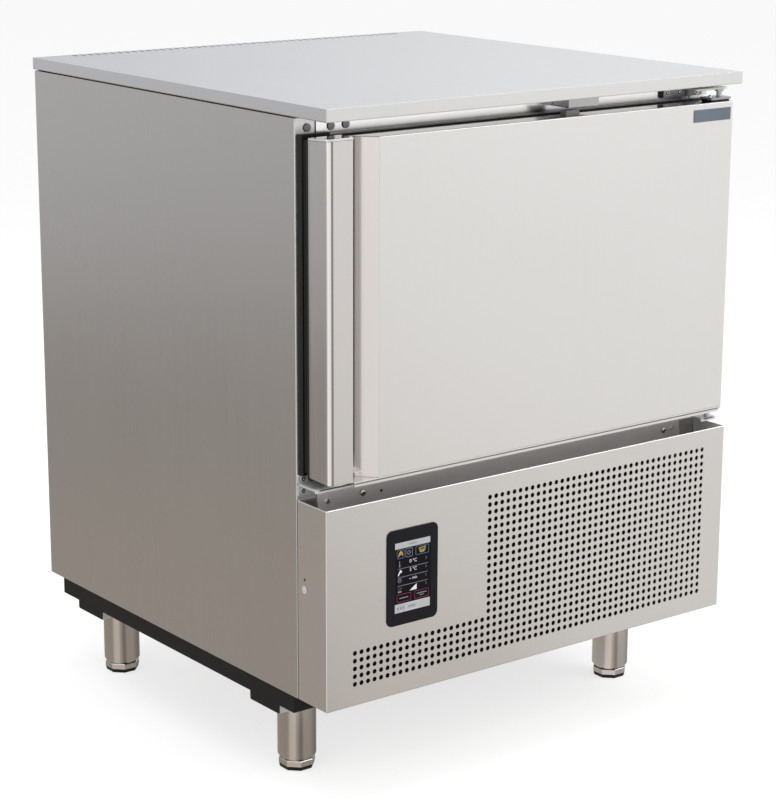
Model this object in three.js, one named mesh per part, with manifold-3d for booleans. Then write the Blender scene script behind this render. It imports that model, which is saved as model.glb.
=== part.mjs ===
// Under-counter blast chiller: an insulated stainless cabinet on four legs, with a right-hung
// door, a machine bay under the chamber and a perforated front panel with a touch display.
// Millimetres, +Z up, the front faces -Y. The origin is on the floor, below the middle of the worktop.
import * as THREE from 'three';
import { mergeVertices } from 'three/addons/utils/BufferGeometryUtils.js';
import Module from 'manifold-3d';

const wasm = await Module();
wasm.setup();

// ---------------------------------------------------------------- driving dimensions
// Sheet metal and clearances
const SHEET = 1.2; // stainless sheet
const GAP = 0.3; // between pieces that touch
const PLATE = 3; // hinge and bracket plate

// Adjustable feet and legs
const FOOT_FLATS = 53; // octagonal foot, across its flats
const FOOT_H = 17;
const FOOT_CHAMFER = 2;
const STEM_R = 7.8;
const STEM_H = 68; // above the octagon
const STEM_PLAY = 0.6;
const LEG_R = 30;
const LEG_H = 92.4;
const LEG_WALL = 2;
const LEG_TAPER = 6; // height of the drawn-in lower end
const LEG_MOUTH_R = 26.5;
const LEG_NUT_H = 18; // threaded block in the lower end
const LEG_INSET = 72.3; // leg centre in from the cabinet's side
const LEG_FRONT = 106; // front legs behind the cabinet's face
const LEG_BACK = 108.7; // rear legs in front of the cabinet's back

// Cross rails and base frame
const RAIL_W = 80;
const RAIL_H = 17.7;
const RAIL_T = 2;
const RAIL_END = 13.3; // rail end in from the cabinet's side
const BASE_H = 31.7;
const BASE_T = 2;
const BASE_SIDE = 8.3; // base side in from the cabinet's side
const BASE_FRONT = 22; // base front behind the cabinet's face
const BASE_BACK = 29; // base back in from the cabinet's back

// Cabinet
const CAB_W = 796.6;
const CAB_D = 734;
const BAY_H = 310; // machine bay
const WALL_FLOOR = 60; // insulated floor, walls and roof, skins included
const WALL_SIDE = 63.3;
const WALL_ROOF = 56;
const WALL_BACK = 60;
const DUCT = 28; // warm-air duct behind the chamber
const CHAMBER_H = 430;
const CHAMBER_R = 20; // rounded chamber corners
const LINER = 1.5;
const FLANGE = 35; // front flange of a side panel
const BACK_FLANGE = 20;
const BOTTOM_FLANGE = 25;

// Worktop
const TOP_SIDE = 1.7; // overhang at each side
const TOP_FRONT = 79; // overhang at the front
const TOP_BACK = 2;
const TOP_LIFT = 2; // shadow gap above the side panels
const TOP_EDGE = 19;
const TOP_RETURN = 14; // flange folded in under the edge
const CORE_FRONT = 8; // core's lower step behind the cabinet's face
const VENT_COUNT = 48;
const VENT_PITCH = 14;
const VENT_W = 5;
const VENT_L = 20;
const VENT_BACK = 5; // slots in from the worktop's rear edge

// Back panel louvres
const LOUVRE_ROWS = 6;
const LOUVRE_COLS = 2;
const LOUVRE_W = 220;
const LOUVRE_H = 8;
const LOUVRE_PITCH_X = 300;
const LOUVRE_PITCH_Z = 30;
const LOUVRE_LOW = 70; // lowest row above the cabinet's bottom

// Front rails and breaker frame round the chamber's mouth
const TOP_RAIL_BACK = 40;
const LOW_RAIL_DROP = 25; // below the bay's ceiling
const LOW_RAIL_BACK = 30;
const BREAKER_T = 11.7;
const BREAKER_SIDE = 3.3; // in from the cabinet's side
const BREAKER_LOW = 27; // below the chamber floor
const BREAKER_HIGH = 34; // above the chamber ceiling, at its left corner
const BREAKER_CORNER = 50; // width of that corner
const BREAKER_DIP = 4; // right of it the frame is lower
const MOUTH_STEP = 1; // breaker opening outside the liner

// Door
const DOOR_SIDE = 0.8; // in from the cabinet's side
const DOOR_LOW = 37.5; // door's lower edge below the chamber floor
const DOOR_HIGH = 32.8; // door's upper edge above the chamber ceiling
const DOOR_T = 31.1;
const FRAME_T = 7.5; // black inner frame
const FRAME_LEFT = 1.5;
const FRAME_RIGHT = 5.5;
const FRAME_LOW = 7;
const FRAME_HIGH = 3;
const FRAME_W = 34;
const GASKET_T = 11.4;
const GASKET_LEFT = 4.5;
const GASKET_RIGHT = 11.5; // the seal swings clear of the breaker frame
const GASKET_LOW = 15.5;
const GASKET_HIGH = 5;
const GASKET_W = 16;
const CAP_TOP = 3.5;
const CAP_LOW = 4;
const CAP_LIP = 3.6; // front edge of the bottom cap, hanging down

// Handle and finger recess along the door's left edge
const HANDLE_W = 55;
const HANDLE_T = 1.5;
const HANDLE_NOSE_R = 8;
const HANDLE_SLANT = 13; // how far its left face leans in at the front
const HANDLE_BACK = 4; // straight part of that face, at the back
const HANDLE_LIP = 12;
const GRIP_W = 44.5; // handle to door front
const GRIP_DEPTH = 28;
const GRIP_SLOPE = 25; // how far the recess wall leans back

// Hinges
const HINGE_SIDE = 12; // hinge axis in from the door's right edge
const HINGE_OUT = 43; // hinge axis in front of the cabinet's face
const PIN_R = 4.5;
const PIN_PLAY = 0.4;
const WASHER_R = 8;
const WASHER_T = 2.4;
const HIGH_ARM_W = 69;
const LOW_ARM_W = 33;
const ARM_REACH = 9; // bracket plate past the hinge axis
const ARM_LIP = 5.8; // height of a lower bracket's front lip
const LOW_ARM_GAP = 10.7; // lower bracket to the door plate
const HIGH_ARM_GAP = 11.7;
const LUG_W = 37; // upright flange of a lower bracket
const LUG_H = 31.6;
const LUG_DOWN = 8.3;
const SPARE_W = 69; // bracket under the handle, for a door hung the other way
const SPARE_REACH = 46.7;
const SPARE_GAP = 1.9; // to the door's lower edge
const SPARE_LUG_DOWN = 16.6;
const HIGH_LUG_W = 97;
const HIGH_LUG_DOWN = 14;
const DOOR_PLATE_T = 3.2;
const DOOR_PLATE_W = 43;

// Door switch and its magnet
const SWITCH = { x: 76, width: 61, depth: 37, height: 16.5, above: 5 };
const MAGNET = { x: 64, width: 27, depth: 13, height: 3.9 };

// Blank badge plate
const BADGE = { width: 79, height: 19.5, thick: 0.8, right: 6.2, down: 11.8 };

// Front panel over the machine bay
const FASCIA_SIDE = 0.3; // in from the cabinet's side
const FASCIA_D = 72;
const FASCIA_TOP = 4.7; // below the bay's ceiling
const FASCIA_DROP = 1; // below the cabinet's bottom
const FASCIA_RETURN = 15;
const PERF_PITCH = 12;
const PERF_R = 3.5;
const PERF_LEFT = 51.2; // first column from the panel's left edge
const PERF_LOW = 33.9; // lowest row above the panel's lower edge
const PERF_RIGHT = 45; // least margin to the panel's right edge
const PERF_HIGH = 30; // least margin to the panel's upper edge
const STRIP_COLS = 21; // columns that have only the low rows
const STRIP_ROWS = 5;
const PERF_SKIP_COUNT = 2; // the solid leaves out two holes after each one, both ways
const PERF_SIDE_COUNT = 4;

// Display
const BEZEL_W = 94.5;
const BEZEL_H = 147.5;
const BEZEL_R = 10;
const BEZEL_T = 1.7;
const BEZEL_X = 108.5; // from the panel's left edge
const BEZEL_Z = 108; // above the panel's lower edge
const SCREEN_W = 66;
const SCREEN_H = 109;
const SCREEN_T = 1.3;
const SCREEN_UP = 19; // above the bezel's lower edge
const HOUSING_EDGE = 5; // housing in from the bezel's edge
const HOUSING_D = 32;

// Small round cap in the panel's left side
const CAP_R = 6;
const CAP_HEAD = 0.8;
const CAP_STEM_R = 2.7;
const CAP_STEM = 5;
const CAP_BACK = 19; // in front of the cabinet's face
const CAP_UP = 175.3; // above the panel's lower edge

// Tray racks, five levels
const LEVELS = 5;
const LEVEL_LOW = 50; // lowest guide above the chamber floor
const LEVEL_HIGH = 76; // highest guide below the chamber ceiling
const POST = 10;
const POST_INSET = 25; // in from the guides' ends
const GUIDE_W = 34;
const GUIDE_T = 2;
const GUIDE_LIP = 8;
const GUIDE_FRONT = 15;
const GUIDE_BACK = 38.3; // in front of the fan baffle

// Evaporator side of the chamber
const EVAP_SPACE = 200; // baffle to the chamber's back wall
const BAFFLE_SIDE = 25; // in from the chamber's wall
const BAFFLE_RIB = 40;
const BAFFLE_RIB_X = 150;
const EVAP_W = 480;
const EVAP_D = 76;
const EVAP_UP = 26;
const EVAP_HEAD = 44; // below the chamber's ceiling
const EVAP_BACK = 8;
const FIN_PITCH = 30;
const FIN_SHARE = 0.22; // of the pitch
const SPINE_SHARE = 0.16; // of the coil's depth
const SOCKET_R = 14;
const SOCKET_T = 9;
const SOCKET_CLEAR = 3; // behind the racks

// Fans
const FAN_R = 118;
const FAN_TIP = 9; // blade tip to its opening
const HUB_R = 34;
const HUB_T = 20;
const BLADES = 5;
const BLADE_W = 58;
const BLADE_T = 2.4;
const BLADE_PITCH = Math.PI / 7;
const MOTOR_R = 40;
const MOTOR_L = 62;
const SHAFT_R = 5;
const ARM_BAR = 16;

// Machine bay
// left, right and back: in from the cabinet's side or back
const COND = { right: 68.3, width: 300, front: 24, depth: 60 };
const SHROUD_EDGE = 8; // shroud above and below the fan's opening
const SHROUD_D = 40;
const COMP = { left: 198.3, back: 214, r: 92, foot: 14, wall: 130, dome: 55, plate: 230 };
const RECEIVER = { right: 148.3, back: 174, r: 48, height: 190, dome: 20 };
const EBOX = { left: 43.3, width: 185, front: 24, depth: 100, height: 262, wall: 2, mouth: 40 };
const PAN = { right: 68.3, width: 240, back: 284, depth: 160, height: 38, wall: 2 };
const PIPE_R = 7;
const PIPE_HOLE = 2; // clearance round the pipe through floor and foam
const PIPE_X = 60;
const PIPE_DROP = 60; // straight run of the suction pipe below the bay's ceiling
const PIPE_SWEEP = 20; // how far its middle bend leans over
const PIPE_RISE = 40; // middle bend above the compressor's ports
const PIPE_RUN = 50; // straight run out of the compressor
const PIPE_ENTRY = 30; // coil inlet below the condenser's top
const PIPE_REACH = 70; // the discharge pipe's last bend before its inlet run
const PIPE_SPREAD = 130; // and behind the inlet

// ---------------------------------------------------------------- derived places
const footTop = FOOT_H;
const legBottom = footTop + GAP;
const legTop = legBottom + LEG_H;
const railBottom = legTop + GAP;
const railTop = railBottom + RAIL_H;
const baseBottom = railTop + GAP;
const baseTop = baseBottom + BASE_H;
const cabBottom = baseTop + GAP;
const bayTop = cabBottom + BAY_H;
const chamberLow = bayTop + WALL_FLOOR;
const chamberHigh = chamberLow + CHAMBER_H;
const chamberMid = (chamberLow + chamberHigh) / 2;
const cabTop = chamberHigh + WALL_ROOF;
const topUnder = cabTop + TOP_LIFT;
const topLevel = topUnder + TOP_EDGE;

const cabX = CAB_W / 2;
const topX = cabX + TOP_SIDE;
const topDepth = TOP_FRONT + CAB_D + TOP_BACK;
const faceY = TOP_FRONT - topDepth / 2; // the cabinet's front face in the object's frame
const legX = cabX - LEG_INSET;
const rearLegY = CAB_D - LEG_BACK;

const backPanelY = CAB_D - SHEET - GAP; // rear face of the back panel
const foamBack = backPanelY - SHEET - DUCT;
const chamberBack = foamBack - WALL_BACK;
const chamberX = cabX - WALL_SIDE;
const baffleY = chamberBack - EVAP_SPACE;
const guideEnd = baffleY - GUIDE_BACK;
const levelPitch = (CHAMBER_H - LEVEL_LOW - LEVEL_HIGH) / (LEVELS - 1);

const breakerFront = -GAP - BREAKER_T;
const gasketFront = breakerFront - GAP - GASKET_T;
const frameFront = gasketFront - GAP - FRAME_T;
const doorBack = frameFront - GAP;
const doorFront = doorBack - DOOR_T;
const doorX = cabX - DOOR_SIDE;
const doorLow = chamberLow - DOOR_LOW;
const doorH = DOOR_LOW + CHAMBER_H + DOOR_HIGH;
const doorTop = doorLow + doorH;
const handleRight = -doorX + HANDLE_W;
const gripFrontX = handleRight + GRIP_W;
const gripBackX = gripFrontX - GRIP_SLOPE;
const gripBack = doorFront + GRIP_DEPTH;
const skinLow = CAP_LOW + GAP; // door heights are above the door's lower edge
const skinHigh = doorH - CAP_TOP - GAP;
const hingeX = doorX - HINGE_SIDE;
const hingeY = -HINGE_OUT;

const fasciaX = cabX - FASCIA_SIDE;
const fasciaLow = cabBottom - FASCIA_DROP;
const fasciaH = bayTop - FASCIA_TOP - fasciaLow;
const perfCols = 1 + Math.floor((2 * fasciaX - PERF_LEFT - PERF_RIGHT) / PERF_PITCH);
const perfRows = 1 + Math.floor((fasciaH - PERF_LOW - PERF_HIGH) / PERF_PITCH);
const bezelX = -fasciaX + BEZEL_X + BEZEL_W / 2;
const bezelZ = fasciaLow + BEZEL_Z + BEZEL_H / 2;
const screenZ = fasciaLow + BEZEL_Z + SCREEN_UP + SCREEN_H / 2;

const condH = 2 * (FAN_R + FAN_TIP + SHROUD_EDGE); // the condenser is as high as its shroud

// ---------------------------------------------------------------- shape helpers
// A closed mesh as a solid for joining and cutting.
function solid(geometry) {
  const bare = geometry.clone();
  bare.deleteAttribute('normal');
  bare.deleteAttribute('uv');
  const merged = mergeVertices(bare, 1e-4);
  const vertProperties = new Float32Array(merged.attributes.position.array);
  const triVerts = new Uint32Array(merged.index.array);
  return new wasm.Manifold(new wasm.Mesh({ numProp: 3, vertProperties, triVerts }));
}

// A solid back as a mesh.
function surface(manifold) {
  const mesh = manifold.getMesh();
  const geometry = new THREE.BufferGeometry();
  geometry.setAttribute('position', new THREE.BufferAttribute(new Float32Array(mesh.vertProperties), 3));
  geometry.setIndex(new THREE.BufferAttribute(new Uint32Array(mesh.triVerts), 1));
  geometry.computeVertexNormals();
  return geometry;
}

function join(...parts) {
  return surface(parts.map(solid).reduce((all, next) => all.add(next)));
}

function cut(body, ...tools) {
  return surface(tools.map(solid).reduce((left, tool) => left.subtract(tool), solid(body)));
}

// A block between two opposite corners.
function block(a, b) {
  const size = a.map((value, i) => Math.abs(b[i] - value));
  const middle = a.map((value, i) => (value + b[i]) / 2);
  return new THREE.BoxGeometry(...size).translate(...middle);
}

function outline(points) {
  return new THREE.Shape(points.map(([x, y]) => new THREE.Vector2(x, y)));
}

// An outline in X and Y, raised from z = low to z = high.
function raised(shape, low, high, curveSegments = 3) {
  const options = { depth: high - low, bevelEnabled: false, curveSegments };
  return new THREE.ExtrudeGeometry(shape, options).translate(0, 0, low);
}

// An outline in X and Z, run from y = front to y = back.
function runBack(shape, front, back, curveSegments = 3) {
  return raised(shape, -back, -front, curveSegments).rotateX(Math.PI / 2);
}

// An outline in Y and Z, run from x = left to x = right.
function runAcross(shape, left, right) {
  const axes = new THREE.Matrix4().makeBasis(
    new THREE.Vector3(0, 1, 0),
    new THREE.Vector3(0, 0, 1),
    new THREE.Vector3(1, 0, 0),
  );
  return raised(shape, left, right).applyMatrix4(axes);
}

// The outline of a folded sheet: a path with the thickness on its left.
function folded(path, thickness) {
  const normals = path.slice(1).map(([x, y], i) => {
    const along = new THREE.Vector2(x - path[i][0], y - path[i][1]).normalize();
    return new THREE.Vector2(-along.y, along.x);
  });
  const inner = path.map(([x, y], i) => {
    const before = normals[Math.max(i - 1, 0)];
    const after = normals[Math.min(i, normals.length - 1)];
    const share = thickness / (1 + before.dot(after));
    return [x + (before.x + after.x) * share, y + (before.y + after.y) * share];
  });
  return outline([...path, ...inner.reverse()]);
}

// Points of an arc, from one angle to another.
function arc(x, y, radius, from, to, steps) {
  return Array.from({ length: steps + 1 }, (_, i) => {
    const angle = from + ((to - from) * i) / steps;
    return [x + radius * Math.cos(angle), y + radius * Math.sin(angle)];
  });
}

function roundedRect(x0, z0, x1, z1, radius, steps = 3) {
  const quarter = Math.PI / 2;
  return [
    ...arc(x1 - radius, z0 + radius, radius, -quarter, 0, steps),
    ...arc(x1 - radius, z1 - radius, radius, 0, quarter, steps),
    ...arc(x0 + radius, z1 - radius, radius, quarter, 2 * quarter, steps),
    ...arc(x0 + radius, z0 + radius, radius, 2 * quarter, 3 * quarter, steps),
  ];
}

function withHole(outer, inner) {
  const shape = outline(outer);
  shape.holes.push(new THREE.Path(inner.map(([x, y]) => new THREE.Vector2(x, y))));
  return shape;
}

function rect(x0, y0, x1, y1) {
  return [[x0, y0], [x1, y0], [x1, y1], [x0, y1]];
}

// A turned shape round +Z from its radius and height profile.
function turned(profile, sides) {
  const points = profile.map(([radius, height]) => new THREE.Vector2(radius, height));
  return new THREE.LatheGeometry(points, sides).rotateX(Math.PI / 2);
}

// A turned shape whose axis points back along +Y.
function turnedBack(profile, sides) {
  return turned(profile, sides).rotateX(-Math.PI / 2);
}

function rod(radius, low, high, sides) {
  return turned([[0, low], [radius, low], [radius, high], [0, high]], sides);
}

function rodBack(radius, front, back, sides) {
  return rod(radius, front, back, sides).rotateX(-Math.PI / 2);
}

// ---------------------------------------------------------------- finishes
function finish(color, roughness, metalness) {
  return new THREE.MeshStandardMaterial({ color, roughness, metalness });
}

const STEEL = [0xbdb9b4, 0.35, 1];
const PALE_STEEL = [0xdad8d4, 0.4, 1];
const ZINC = [0xb9c2c3, 0.4, 1];
const BLACK_PAINT = [0x1c1c1c, 0.6, 0.2];
const BLACK_PLASTIC = [0x1e1f1f, 0.6, 0];
const RUBBER = [0x191919, 0.85, 0];
const FOAM = [0xe4d8a8, 0.9, 0];
const COPPER = [0xb87349, 0.35, 1];
const FINS = [0xc4c8ca, 0.45, 1];
const GREY_PLASTIC = [0x9a9b9c, 0.55, 0];
const WHITE_PLASTIC = [0xeeeeee, 0.5, 0];
const BLACK_GLASS = [0x0b0b10, 0.1, 0];
const BADGE_GREY = [0x8496a3, 0.4, 0.6];

// ---------------------------------------------------------------- scene graph
const machine = new THREE.Group();
const cabinet = new THREE.Group(); // y is measured back from the cabinet's front face
cabinet.position.y = faceY;
const door = new THREE.Group(); // z is measured from the door's lower edge
door.position.z = doorLow;
machine.add(cabinet);
cabinet.add(door);

function add(parent, name, geometry, look, x = 0, y = 0, z = 0) {
  const mesh = new THREE.Mesh(geometry, finish(...look));
  mesh.name = name;
  mesh.position.set(x, y, z);
  parent.add(mesh);
  return mesh;
}

// ---------------------------------------------------------------- legs and feet
function legTube() {
  const inner = LEG_R - LEG_WALL;
  const bore = STEM_R + STEM_PLAY;
  return turned([
    [0, LEG_H - LEG_WALL],
    [inner, LEG_H - LEG_WALL],
    [inner, LEG_NUT_H],
    [bore, LEG_NUT_H],
    [bore, 0],
    [LEG_MOUTH_R, 0],
    [LEG_R, LEG_TAPER],
    [LEG_R, LEG_H],
    [0, LEG_H],
  ], 20);
}

function footSolid() {
  const corner = FOOT_FLATS / 2 / Math.cos(Math.PI / 8);
  return turned([
    [0, 0],
    [corner - FOOT_CHAMFER, 0],
    [corner, FOOT_CHAMFER],
    [corner, FOOT_H],
    [STEM_R, FOOT_H],
    [STEM_R, FOOT_H + STEM_H],
    [0, FOOT_H + STEM_H],
  ], 8).rotateZ(Math.PI / 8);
}

function addLegs() {
  for (const [end, y] of [['front', LEG_FRONT], ['rear', rearLegY]]) {
    for (const [side, x] of [['left', -legX], ['right', legX]]) {
      add(cabinet, `${end}_${side}_leg`, legTube(), STEEL, x, y, legBottom);
      add(cabinet, `${end}_${side}_foot`, footSolid(), STEEL, x, y);
    }
  }
}

// ---------------------------------------------------------------- rails and base
function crossRail() {
  const half = RAIL_W / 2;
  const profile = folded([[-half, RAIL_H], [-half, 0], [half, 0], [half, RAIL_H]], RAIL_T);
  return runAcross(profile, -cabX + RAIL_END, cabX - RAIL_END);
}

// A plate with walls round its edge and two webs that stand on each cross rail.
function baseFrame() {
  const x = cabX - BASE_SIDE;
  const back = CAB_D - BASE_BACK;
  const reach = RAIL_W / 2;
  const web = 2 * RAIL_T;
  const edges = [BASE_FRONT + BASE_T];
  for (const y of [LEG_FRONT, rearLegY]) {
    edges.push(y - reach, y - reach + web, y + reach - web, y + reach);
  }
  edges.push(back - BASE_T);
  const pockets = [];
  for (let i = 0; i < edges.length; i += 2) {
    pockets.push(block([-x + BASE_T, edges[i], -BASE_T], [x - BASE_T, edges[i + 1], BASE_H - BASE_T]));
  }
  return cut(block([-x, BASE_FRONT, 0], [x, back, BASE_H]), ...pockets);
}

function addBase() {
  add(cabinet, 'front_cross_rail', crossRail(), ZINC, 0, LEG_FRONT, railBottom);
  add(cabinet, 'rear_cross_rail', crossRail(), ZINC, 0, rearLegY, railBottom);
  add(cabinet, 'base_frame', baseFrame(), BLACK_PAINT, 0, 0, baseBottom);
}

// ---------------------------------------------------------------- outer skins
function sidePanel(side) {
  const x = side * cabX;
  const inward = -side;
  const path = [
    [x + inward * BACK_FLANGE, CAB_D],
    [x, CAB_D],
    [x, 0],
    [x + inward * FLANGE, 0],
  ];
  const height = cabTop - cabBottom;
  const skin = raised(folded(path, side < 0 ? SHEET : -SHEET), 0, height);
  const foot = block(
    [x + inward * SHEET / 2, SHEET / 2, 0],
    [x + inward * BOTTOM_FLANGE, backPanelY - SHEET - GAP, SHEET],
  );
  return join(skin, foot);
}

function backPanel() {
  const x = cabX - SHEET - GAP;
  const height = cabTop - cabBottom;
  const panel = block([-x, backPanelY - SHEET, 0], [x, backPanelY, height]);
  const louvres = [];
  for (let row = 0; row < LOUVRE_ROWS; row += 1) {
    for (let col = 0; col < LOUVRE_COLS; col += 1) {
      const middle = (col - (LOUVRE_COLS - 1) / 2) * LOUVRE_PITCH_X;
      const low = LOUVRE_LOW + row * LOUVRE_PITCH_Z;
      louvres.push(block(
        [middle - LOUVRE_W / 2, backPanelY - 2 * SHEET, low],
        [middle + LOUVRE_W / 2, backPanelY + SHEET, low + LOUVRE_H],
      ));
    }
  }
  return cut(panel, ...louvres);
}

function worktop() {
  const front = -TOP_FRONT;
  const back = CAB_D + TOP_BACK;
  const body = block([-topX, front, 0], [topX, back, TOP_EDGE]);
  const hollow = block(
    [-topX + SHEET, front + SHEET, SHEET],
    [topX - SHEET, back - SHEET, TOP_EDGE - SHEET],
  );
  const mouth = block(
    [-topX + TOP_RETURN, front + TOP_RETURN, -SHEET],
    [topX - TOP_RETURN, back - SHEET, 2 * SHEET],
  );
  const slots = [];
  for (let i = 0; i < VENT_COUNT; i += 1) {
    const x = (i - (VENT_COUNT - 1) / 2) * VENT_PITCH;
    slots.push(block(
      [x - VENT_W / 2, back - VENT_BACK - VENT_L, TOP_EDGE - 2 * SHEET],
      [x + VENT_W / 2, back - VENT_BACK, TOP_EDGE + SHEET],
    ));
  }
  return cut(body, hollow, mouth, ...slots);
}

// The board that stiffens the worktop and carries it on the cabinet.
function worktopCore() {
  const seat = cabTop + GAP - topUnder;
  const overLip = SHEET + GAP;
  const back = foamBack;
  const board = block(
    [-topX + TOP_RETURN + GAP, -TOP_FRONT + TOP_RETURN + GAP, overLip],
    [topX - TOP_RETURN - GAP, back, TOP_EDGE - SHEET - GAP],
  );
  const step = block(
    [-topX + TOP_RETURN + GAP, CORE_FRONT, seat],
    [topX - TOP_RETURN - GAP, back, 2 * overLip],
  );
  return join(board, step);
}

function addSkins() {
  add(cabinet, 'left_side_panel', sidePanel(-1), STEEL, 0, 0, cabBottom);
  add(cabinet, 'right_side_panel', sidePanel(1), STEEL, 0, 0, cabBottom);
  add(cabinet, 'back_panel', backPanel(), STEEL, 0, 0, cabBottom);
  add(cabinet, 'worktop', worktop(), PALE_STEEL, 0, 0, topUnder);
  add(cabinet, 'worktop_core', worktopCore(), FOAM, 0, 0, topUnder);
}

// ---------------------------------------------------------------- insulated chamber
function chamberOutline(grow) {
  return roundedRect(
    -chamberX - grow,
    chamberLow - grow,
    chamberX + grow,
    chamberHigh + grow,
    CHAMBER_R + grow,
  );
}

// A hole for the suction pipe, down through the chamber's floor.
function pipeHole() {
  const y = chamberBack - EVAP_BACK - EVAP_D / 2;
  return rod(PIPE_R + PIPE_HOLE, bayTop - SHEET, chamberLow + SHEET, 10).translate(PIPE_X, y, 0);
}

function chamberLiner() {
  const shell = runBack(outline(chamberOutline(LINER)), 0, chamberBack + LINER);
  const room = runBack(outline(chamberOutline(0)), -LINER, chamberBack);
  return cut(shell, room, pipeHole());
}

function cabinetInsulation() {
  const x = cabX - SHEET - GAP;
  const body = block(
    [-x, SHEET + GAP, bayTop + SHEET + GAP],
    [x, foamBack, cabTop - SHEET - GAP],
  );
  const room = runBack(outline(chamberOutline(LINER + GAP)), -LINER, chamberBack + LINER + GAP);
  return cut(body, room, pipeHole());
}

// The sheet under and behind the foam.
function insulationTray() {
  const x = cabX - SHEET - GAP;
  const back = foamBack + GAP + SHEET;
  const profile = folded([
    [SHEET + GAP, bayTop],
    [back, bayTop],
    [back, cabTop - SHEET - GAP],
  ], SHEET);
  return cut(runAcross(profile, -x, x), pipeHole());
}

function breakerFrame() {
  const x = cabX - BREAKER_SIDE;
  const low = chamberLow - BREAKER_LOW;
  const high = chamberHigh + BREAKER_HIGH;
  const corner = BREAKER_CORNER - x;
  const outer = [
    [-x, low], [x, low], [x, high - BREAKER_DIP],
    [corner, high - BREAKER_DIP], [corner, high], [-x, high],
  ];
  return runBack(withHole(outer, chamberOutline(MOUTH_STEP)), breakerFront, -GAP);
}

function topFrontRail() {
  const x = cabX - FLANGE - GAP;
  const low = chamberHigh + LINER + GAP;
  const profile = folded([[TOP_RAIL_BACK, cabTop], [0, cabTop], [0, low]], SHEET);
  return runAcross(profile, -x, x);
}

function lowerFrontRail() {
  const x = cabX - FLANGE - GAP;
  const high = chamberLow - LINER - GAP;
  const low = bayTop - LOW_RAIL_DROP;
  const profile = folded([[0, high], [0, low], [LOW_RAIL_BACK, low]], SHEET);
  return runAcross(profile, -x, x);
}

function trayRack(side) {
  const wall = side * (chamberX - GAP);
  const bars = [];
  for (const y of [GUIDE_FRONT + POST_INSET, guideEnd - POST_INSET - POST]) {
    bars.push(block(
      [wall, y, chamberLow + CHAMBER_R],
      [wall - side * POST, y + POST, chamberHigh - CHAMBER_R],
    ));
  }
  for (let level = 0; level < LEVELS; level += 1) {
    const z = chamberLow + LEVEL_LOW + level * levelPitch;
    const near = wall - side * POST / 2;
    const tip = wall - side * (POST + GUIDE_W);
    bars.push(block([near, GUIDE_FRONT, z], [tip, guideEnd, z + GUIDE_T]));
    bars.push(block([near, GUIDE_FRONT, z], [near - side * GUIDE_T, guideEnd, z + GUIDE_LIP]));
  }
  return join(...bars);
}

// A finned coil block: one comb outline, with fins that stand in front of a spine.
function finnedBlock(width, depth, height) {
  const fins = Math.round(width / FIN_PITCH);
  const pitch = width / (fins - 1 + FIN_SHARE);
  const fin = pitch * FIN_SHARE;
  const spine = depth * (1 - SPINE_SHARE);
  const points = [[width, depth], [0, depth]];
  for (let i = 0; i < fins; i += 1) {
    const x = i * pitch;
    if (i > 0) points.push([x, spine]);
    points.push([x, 0], [x + fin, 0]);
    if (i < fins - 1) points.push([x + fin, spine]);
  }
  return raised(outline(points), 0, height);
}

// The coil block on two plate legs that stand on the chamber's floor.
function evaporatorCoil() {
  const down = GAP - EVAP_UP;
  return join(
    finnedBlock(EVAP_W, EVAP_D, CHAMBER_H - EVAP_UP - EVAP_HEAD),
    block([0, EVAP_D / 3, down], [PLATE, EVAP_D, PLATE]),
    block([EVAP_W - PLATE, EVAP_D / 3, down], [EVAP_W, EVAP_D, PLATE]),
  );
}

function addChamber() {
  add(cabinet, 'chamber_liner', chamberLiner(), STEEL);
  add(cabinet, 'cabinet_insulation', cabinetInsulation(), FOAM);
  add(cabinet, 'insulation_tray', insulationTray(), ZINC);
  add(cabinet, 'breaker_frame', breakerFrame(), BLACK_PLASTIC);
  add(cabinet, 'top_front_rail', topFrontRail(), STEEL);
  add(cabinet, 'lower_front_rail', lowerFrontRail(), STEEL);
  add(cabinet, 'left_tray_rack', trayRack(-1), STEEL);
  add(cabinet, 'right_tray_rack', trayRack(1), STEEL);
}

// ---------------------------------------------------------------- fans
// The fan turns about +Y; its hub starts at y = 0.
function fanBlade() {
  const bore = SHAFT_R + PIN_PLAY;
  const hub = turnedBack([[bore, 0], [HUB_R, 0], [HUB_R, HUB_T], [bore, HUB_T], [bore, 0]], 12);
  const blades = Array.from({ length: BLADES }, (_, i) => {
    const start = HUB_R - BLADE_T;
    return new THREE.BoxGeometry(BLADE_W, BLADE_T, FAN_R - start)
      .translate(0, 0, (FAN_R + start) / 2)
      .rotateZ(BLADE_PITCH)
      .translate(0, HUB_T / 2, 0)
      .rotateY((2 * Math.PI * i) / BLADES);
  });
  return join(hub, ...blades);
}

// A motor on a crossbar; the bar's front face is at y = 0 and the shaft points to the front.
function fanMotor(span, shaft) {
  const bar = block([-span / 2, 0, -ARM_BAR / 2], [span / 2, PLATE, ARM_BAR / 2]);
  const body = rodBack(MOTOR_R, -PLATE / 2, MOTOR_L, 16);
  const axle = rodBack(SHAFT_R, -shaft, 0, 8);
  return join(bar, body, axle);
}

// ---------------------------------------------------------------- evaporator
function evaporatorBaffle() {
  const low = chamberLow + GAP;
  const high = chamberHigh - GAP;
  const x = chamberX - BAFFLE_SIDE;
  const sheet = block([-x, 0, low], [x, LINER, high]);
  const ribs = [-1, 1].map((side) => block(
    [side * BAFFLE_RIB_X, LINER / 2, low],
    [side * (BAFFLE_RIB_X + LINER), BAFFLE_RIB, high],
  ));
  const opening = rodBack(FAN_R + FAN_TIP, -LINER, 2 * LINER, 24).translate(0, 0, chamberMid);
  return cut(join(sheet, ...ribs), opening);
}

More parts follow.
